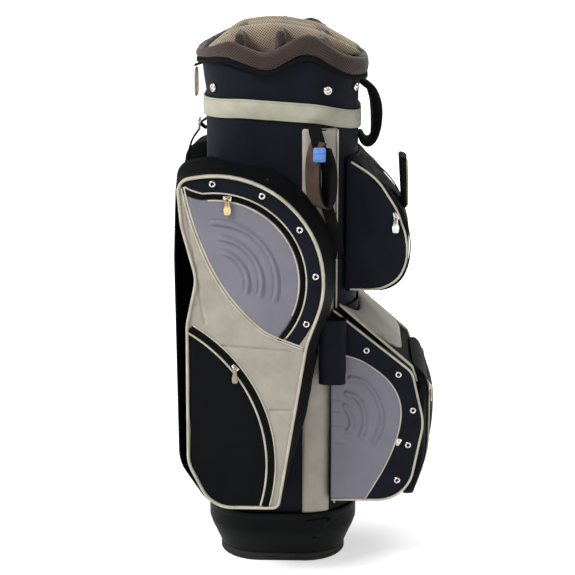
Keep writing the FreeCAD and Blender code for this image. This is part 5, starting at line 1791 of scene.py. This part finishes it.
def strap_loop(width, inset):
    """Rings of the hanging loop: outer and inner corners at its two edges."""
    rings = []
    for i, (u, z) in enumerate(loop_line):
        a, b = loop_line[max(i - 1, 0)], loop_line[min(i + 1, len(loop_line) - 1)]
        length = math.hypot(b[0] - a[0], b[1] - a[1])
        n = ((b[1] - a[1]) / length, -(b[0] - a[0]) / length)
        ring = []
        for s, o in oblong(width, 2.0 - inset, 0.5):
            lean = SKEW * s / 12
            ring.append(at(loop_mid + s, u + lean + n[0] * (o - inset), z + n[1] * (o - inset)))
        rings.append(ring)
    return rings


verts, faces, uvs = skin(strap_loop(23.0, 0))
piece("umbrella_loop", verts, faces, "black_webbing", "umbrella_strap", "black_webbing",
    ["umbrella_strap"], [(b, a) for a, b in uvs])
verts, faces, uvs = skin(strap_loop(20.0, -1.0))
piece("umbrella_loop_lining", verts, faces, "brown_webbing", "umbrella_strap", "black_webbing", (),
    [(b, a) for a, b in uvs])
hang = [(inner_x - 9.4, 54, 760), (inner_x - 10.8, 55, 750), (inner_x - 13, 59, 736),
    (inner_x - 14, 63, 718)]
ribbon("umbrella_hanger", smooth_line(hang, 4), [(-1, 0, 0)] * (len(hang) * 4 - 3),
    oblong(21.0, 2.2, 0.9), "black_webbing", "umbrella_strap", "black_webbing")
tail_line = smooth_line([(69, 640), (76, 622), (83, 596), (89, 572), (92, 553)], 6)
ribbon("umbrella_tail", [(inner_x - 1.4, u, z) for u, z in tail_line],
    [(-1, 0, 0)] * len(tail_line), oblong(19, 1.6, 0.7), "black_webbing", "umbrella_strap",
    "black_webbing")
FRAY_THREADS, FRAY_WIDTH = 40, 18
frays = []
for k in range(FRAY_THREADS):
    u = 92 + (k / (FRAY_THREADS - 1) - 0.5) * FRAY_WIDTH
    wave = noise.noise(Vector((k * 1.7, 0, 0)))
    thread = [(inner_x - 1.4, u, 555), (inner_x - 1.4 - wave, u + wave * 2, 548),
        (inner_x - 1.6 - wave * 2, u + wave * 4, 541 - 3 * wave)]
    frays.append(tube_shape(thread, 0.35, count=5))
fray = together(*frays)
piece("umbrella_fray", [at(*v) for v in fray[0]], fray[1], "black_webbing", "umbrella_strap",
    "black_webbing")
low, high = size_mm("umbrella_buckle")
mid_u, mid_z = -(low.y + high.y) / 2, (low.z + high.z) / 2
frame_outline = [(-9.8, -11.5, 3), (9.8, -11.5, 3), (9.8, 11.5, 3), (-9.8, 11.5, 3)]
buckle = together(plate(frame_outline, 0.2, 2.6, 0.8),
    plate([(-8, -9, 2), (8, -9, 2), (7, 9, 3), (-7, 9, 3)], 2.2, 4.6, 0.9),
    plate([(-7, 3, 1), (7, 3, 1), (7, 6, 1), (-7, 6, 1)], 4.2, 5.6, 0.4))
fitting("umbrella_buckle", buckle, (high.x, mid_u, mid_z), (0, 1, 0), (-1, 0, 0), "blue_plastic",
    "umbrella_strap", "blue_plastic", ["umbrella_buckle"])

# ---- handle, shoulder strap and rings --------------------------------------------------------
def padded_strap(name, line, width_at, thick_at, bulge, material, body, slot, stands_for, flip,
        twist=0.0):
    """A padded strap in the u-z plane, as wide in x as width_at(t), closed at its ends."""
    centre = even(smooth_line(line, 8), 4.0)
    path = [at(0, u, z) for u, z in centre]
    count = len(path)
    rings = []
    for i, p in enumerate(path):
        t = i / (count - 1)
        a, b = path[max(i - 1, 0)], path[min(i + 1, count - 1)]
        tangent = (b - a).normalized()
        out = Vector((1, 0, 0)).cross(tangent) * flip
        w, k = width_at(t) / 2, thick_at(t)
        ring = []
        for s, o in ((-1, -0.15), (-0.97, -0.7), (-0.8, -1), (0, -1), (0.8, -1), (0.97, -0.7),
                (1, -0.15), (1, 0.15), (0.97, 0.6), (0.8, 0.95), (0.4, 1.0 + bulge),
                (0, 1.0 + bulge), (-0.4, 1.0 + bulge), (-0.8, 0.95), (-0.97, 0.6), (-1, 0.15)):
            ring.append(p + Vector((1, 0, 0)) * s * w * MM
                + out * ((o * k / 2 + s * w * twist * math.sin(math.pi * t)) * MM))
        rings.append(ring)
    verts, faces, uvs = skin(rings)
    return piece(name, verts, faces, material, body, slot, stands_for, uvs)


handle = padded_strap("carry_handle", HANDLE_LINE, lambda t: 45.0,
    lambda t: 8.0 + 5.0 * math.sin(math.pi * min(t * 1.4, 1)), 0.1,
    *BLACK_WEBBING, ["carry_handle"], 1, 0.2)
stuff(handle, 1.2, lambda x, u, z: (x, 45 * math.atan2(z - 760, u - 118)))
strap_run = [(STRAP_LINE[0][0], 731)] + STRAP_LINE[1:-1] + [(STRAP_LINE[-1][0], 337)]
strap = padded_strap("shoulder_strap", strap_run,
    lambda t: 23 + 25.5 * min(1, max(0, (min(t, 1 - t) - 0.09) / 0.14)),
    lambda t: 3 + 5.6 * min(1, max(0, (min(t, 1 - t) - 0.10) / 0.06)), 0.1,
    "black_webbing", "shoulder_strap", "black_webbing", ["shoulder_strap"], -1)
strap_edge = even(smooth_line(strap_run, 8), 4.0)
strap_edge = strap_edge[int(len(strap_edge) * 0.24):int(len(strap_edge) * 0.76)]
for side_name, side in SIDES.items():
    rows = [(side * 21, u - 4.4, z) for u, z in strap_edge]
    stitches(f"{side_name}_strap_stitches", rows, [(0, -1, 0)] * len(rows), "tan_piping",
        "shoulder_strap", "black_webbing")

rings_made = []
low, high = size_mm("strap_rings")
for z0 in (low.z, high.z - 17.0):
    loop = rounded([(-18.4, z0 + 1.6, 5), (18.4, z0 + 1.6, 5), (18.4, z0 + 15.4, 5),
        (-18.4, z0 + 15.4, 5)])
    rings_made.append(pipe("ring", [(x, -137.0, z) for x, z in loop], 1.5, *BRIGHT, True,
        step=1.5, out=(0, 1, 0)))
join("strap_rings", rings_made, "bag", "bright_metal", ["strap_rings"])
low, high = size_mm("towel_ring")
loop = rounded([(low.x + 2, low.z + 2, 12), (high.x - 2, low.z + 2, 12),
    (high.x - 2, high.z - 2, 12), (low.x + 2, high.z - 2, 12)])
pipe("towel_ring", [(x, -(low.y + high.y) / 2, z) for x, z in loop], 1.95, "taupe_plastic",
    "towel_ring", "taupe_plastic", True, ["towel_ring"], 1.5, out=(0, 1, 0))
tabs = []
for z0 in (336.0 - 17, 732.0):
    line = [(0, -125.2, z0 + 1.5), (0, -127.5, z0 + 1.8), (0, -134.6, z0 + 8.5),
        (0, -127.5, z0 + 15.2), (0, -125.2, z0 + 15.5)]
    curve = smooth_line(line, 4)
    tabs.append(ribbon("tab", curve, [(0, p[1] + 126, p[2] - z0 - 8.5) for p in curve],
        oblong(25.0, 2.0, 0.8), *BLACK_WEBBING))
line = smooth_line([(0, -127.5, 841), (0, -136, 838.5), (0, -141, 836.5), (0, -143.5, 836.0)], 4)
tabs.append(ribbon("tab", line, [(0, -0.3, 1)] * len(line), oblong(19.0, 2.6, 0.8), *BLACK_WEBBING))
line = [(inner_x - 10.5, 65, 751.5), (inner_x - 4, 65, 750.5), (inner_x - 0.3, 65, 750)]
tabs.append(ribbon("tab", smooth_line(line, 4), [(0, 0, 1)] * 9, oblong(15.0, 2.0, 0.8),
    *BLACK_WEBBING))
join("web_tabs", tabs, "bag", "black_webbing", ["web_tabs"])

# low zips and the outer piping stand for their CAD strips
for name, node in (("left_low_zip", "low_zips"), ("left_outer_piping", "side_piping")):
    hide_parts(node)

# ---- floor, light and camera ---------------------------------------------------------------
floor_material, tree = new_material("studio_floor")
rays = add(tree, "ShaderNodeLightPath")
seen = add(tree, "ShaderNodeMath", {0: rays.outputs["Is Camera Ray"],
    1: rays.outputs["Is Glossy Ray"]}, operation="MAXIMUM")
seen = add(tree, "ShaderNodeMath", {0: seen.outputs[0], 1: rays.outputs["Is Transmission Ray"]},
    operation="MAXIMUM")
away = add(tree, "ShaderNodeVectorMath", {0: add(tree, "ShaderNodeTexCoord").outputs["Object"]},
    operation="LENGTH")
glow_by_distance = add(tree, "ShaderNodeMapRange", {"Value": away.outputs["Value"], "From Min": 0.3,
    "From Max": 1.6, "To Min": 0.5, "To Max": 1.0})
lift = add(tree, "ShaderNodeMath", {0: seen.outputs[0], 1: glow_by_distance.outputs["Result"]},
    operation="MULTIPLY")
ground = add(tree, "ShaderNodeBsdfDiffuse", {"Color": linear("#f2f2f2")})
glow = add(tree, "ShaderNodeEmission", {"Strength": lift.outputs[0]})
both = add(tree, "ShaderNodeAddShader", {0: ground.outputs[0], 1: glow.outputs[0]})
add(tree, "ShaderNodeOutputMaterial", {"Surface": both.outputs[0]})
floor_mesh = bpy.data.meshes.new("floor")
FLOOR_HALF = 30.0
floor_mesh.from_pydata([(-FLOOR_HALF, -FLOOR_HALF, 0), (FLOOR_HALF, -FLOOR_HALF, 0),
    (FLOOR_HALF, FLOOR_HALF, 0), (-FLOOR_HALF, FLOOR_HALF, 0)], [], [(0, 1, 2, 3)])
floor_mesh.materials.append(floor_material)
floor = bpy.data.objects.new("floor", floor_mesh)
bpy.context.scene.collection.objects.link(floor)

world = bpy.data.worlds.new("studio")
world.use_nodes = True
world.node_tree.nodes.clear()
tree = world.node_tree
rays = add(tree, "ShaderNodeLightPath")
level = add(tree, "ShaderNodeMapRange", {"Value": rays.outputs["Is Camera Ray"], "To Min": 0.37,
    "To Max": 1.0})
sky = add(tree, "ShaderNodeBackground", {"Color": (1, 1, 1, 1),
    "Strength": level.outputs["Result"]})
add(tree, "ShaderNodeOutputWorld", {"Surface": sky.outputs[0]})
bpy.context.scene.world = world


def lamp(name, place, target, size, watts):
    data = bpy.data.lights.new(name, "AREA")
    data.size = size
    data.energy = watts
    lamp_object = bpy.data.objects.new(name, data)
    lamp_object.location = place
    aim = Vector(target) - Vector(place)
    lamp_object.rotation_euler = aim.to_track_quat("-Z", "Y").to_euler()
    bpy.context.scene.collection.objects.link(lamp_object)


lamp("key", (-1.5, 2.1, 2.9), (0, 0, 0.5), 1.0, 105)
lamp("fill", (-2.4, -2.0, 1.4), (0, 0, 0.5), 2.0, 16)
lamp("top", (1.6, -0.6, 2.8), (0, 0, 0.5), 1.6, 40)

# The camera stands to the left of the bag, a little towards its front, and looks down on it.
AZIMUTH, REACH, EYE_HEIGHT = math.radians(-88.0), 2.6, 1.2
PITCH, YAW = math.radians(15.88), math.radians(0.167)
LENS = 1600.4 / 575 * 36.0
toward = Vector((-math.sin(AZIMUTH), math.cos(AZIMUTH), 0))
right = Vector((math.cos(AZIMUTH), math.sin(AZIMUTH), 0))
level_ahead = toward * math.cos(YAW) + right * math.sin(YAW)
right = right * math.cos(YAW) - toward * math.sin(YAW)
ahead = level_ahead * math.cos(PITCH) - Vector((0, 0, 1)) * math.sin(PITCH)
up = level_ahead * math.sin(PITCH) + Vector((0, 0, 1)) * math.cos(PITCH)
camera_data = bpy.data.cameras.new("camera")
camera_data.lens = LENS
camera_data.sensor_width = 36.0
camera_data.clip_end = 100
camera = bpy.data.objects.new("camera", camera_data)
turn = Matrix((right, up, -ahead)).transposed()
camera.matrix_world = Matrix.LocRotScale(
    Vector((math.sin(AZIMUTH) * REACH, -math.cos(AZIMUTH) * REACH, EYE_HEIGHT)), turn, None)
bpy.context.scene.collection.objects.link(camera)
bpy.context.scene.camera = camera
bpy.context.scene.view_settings.view_transform = "Standard"
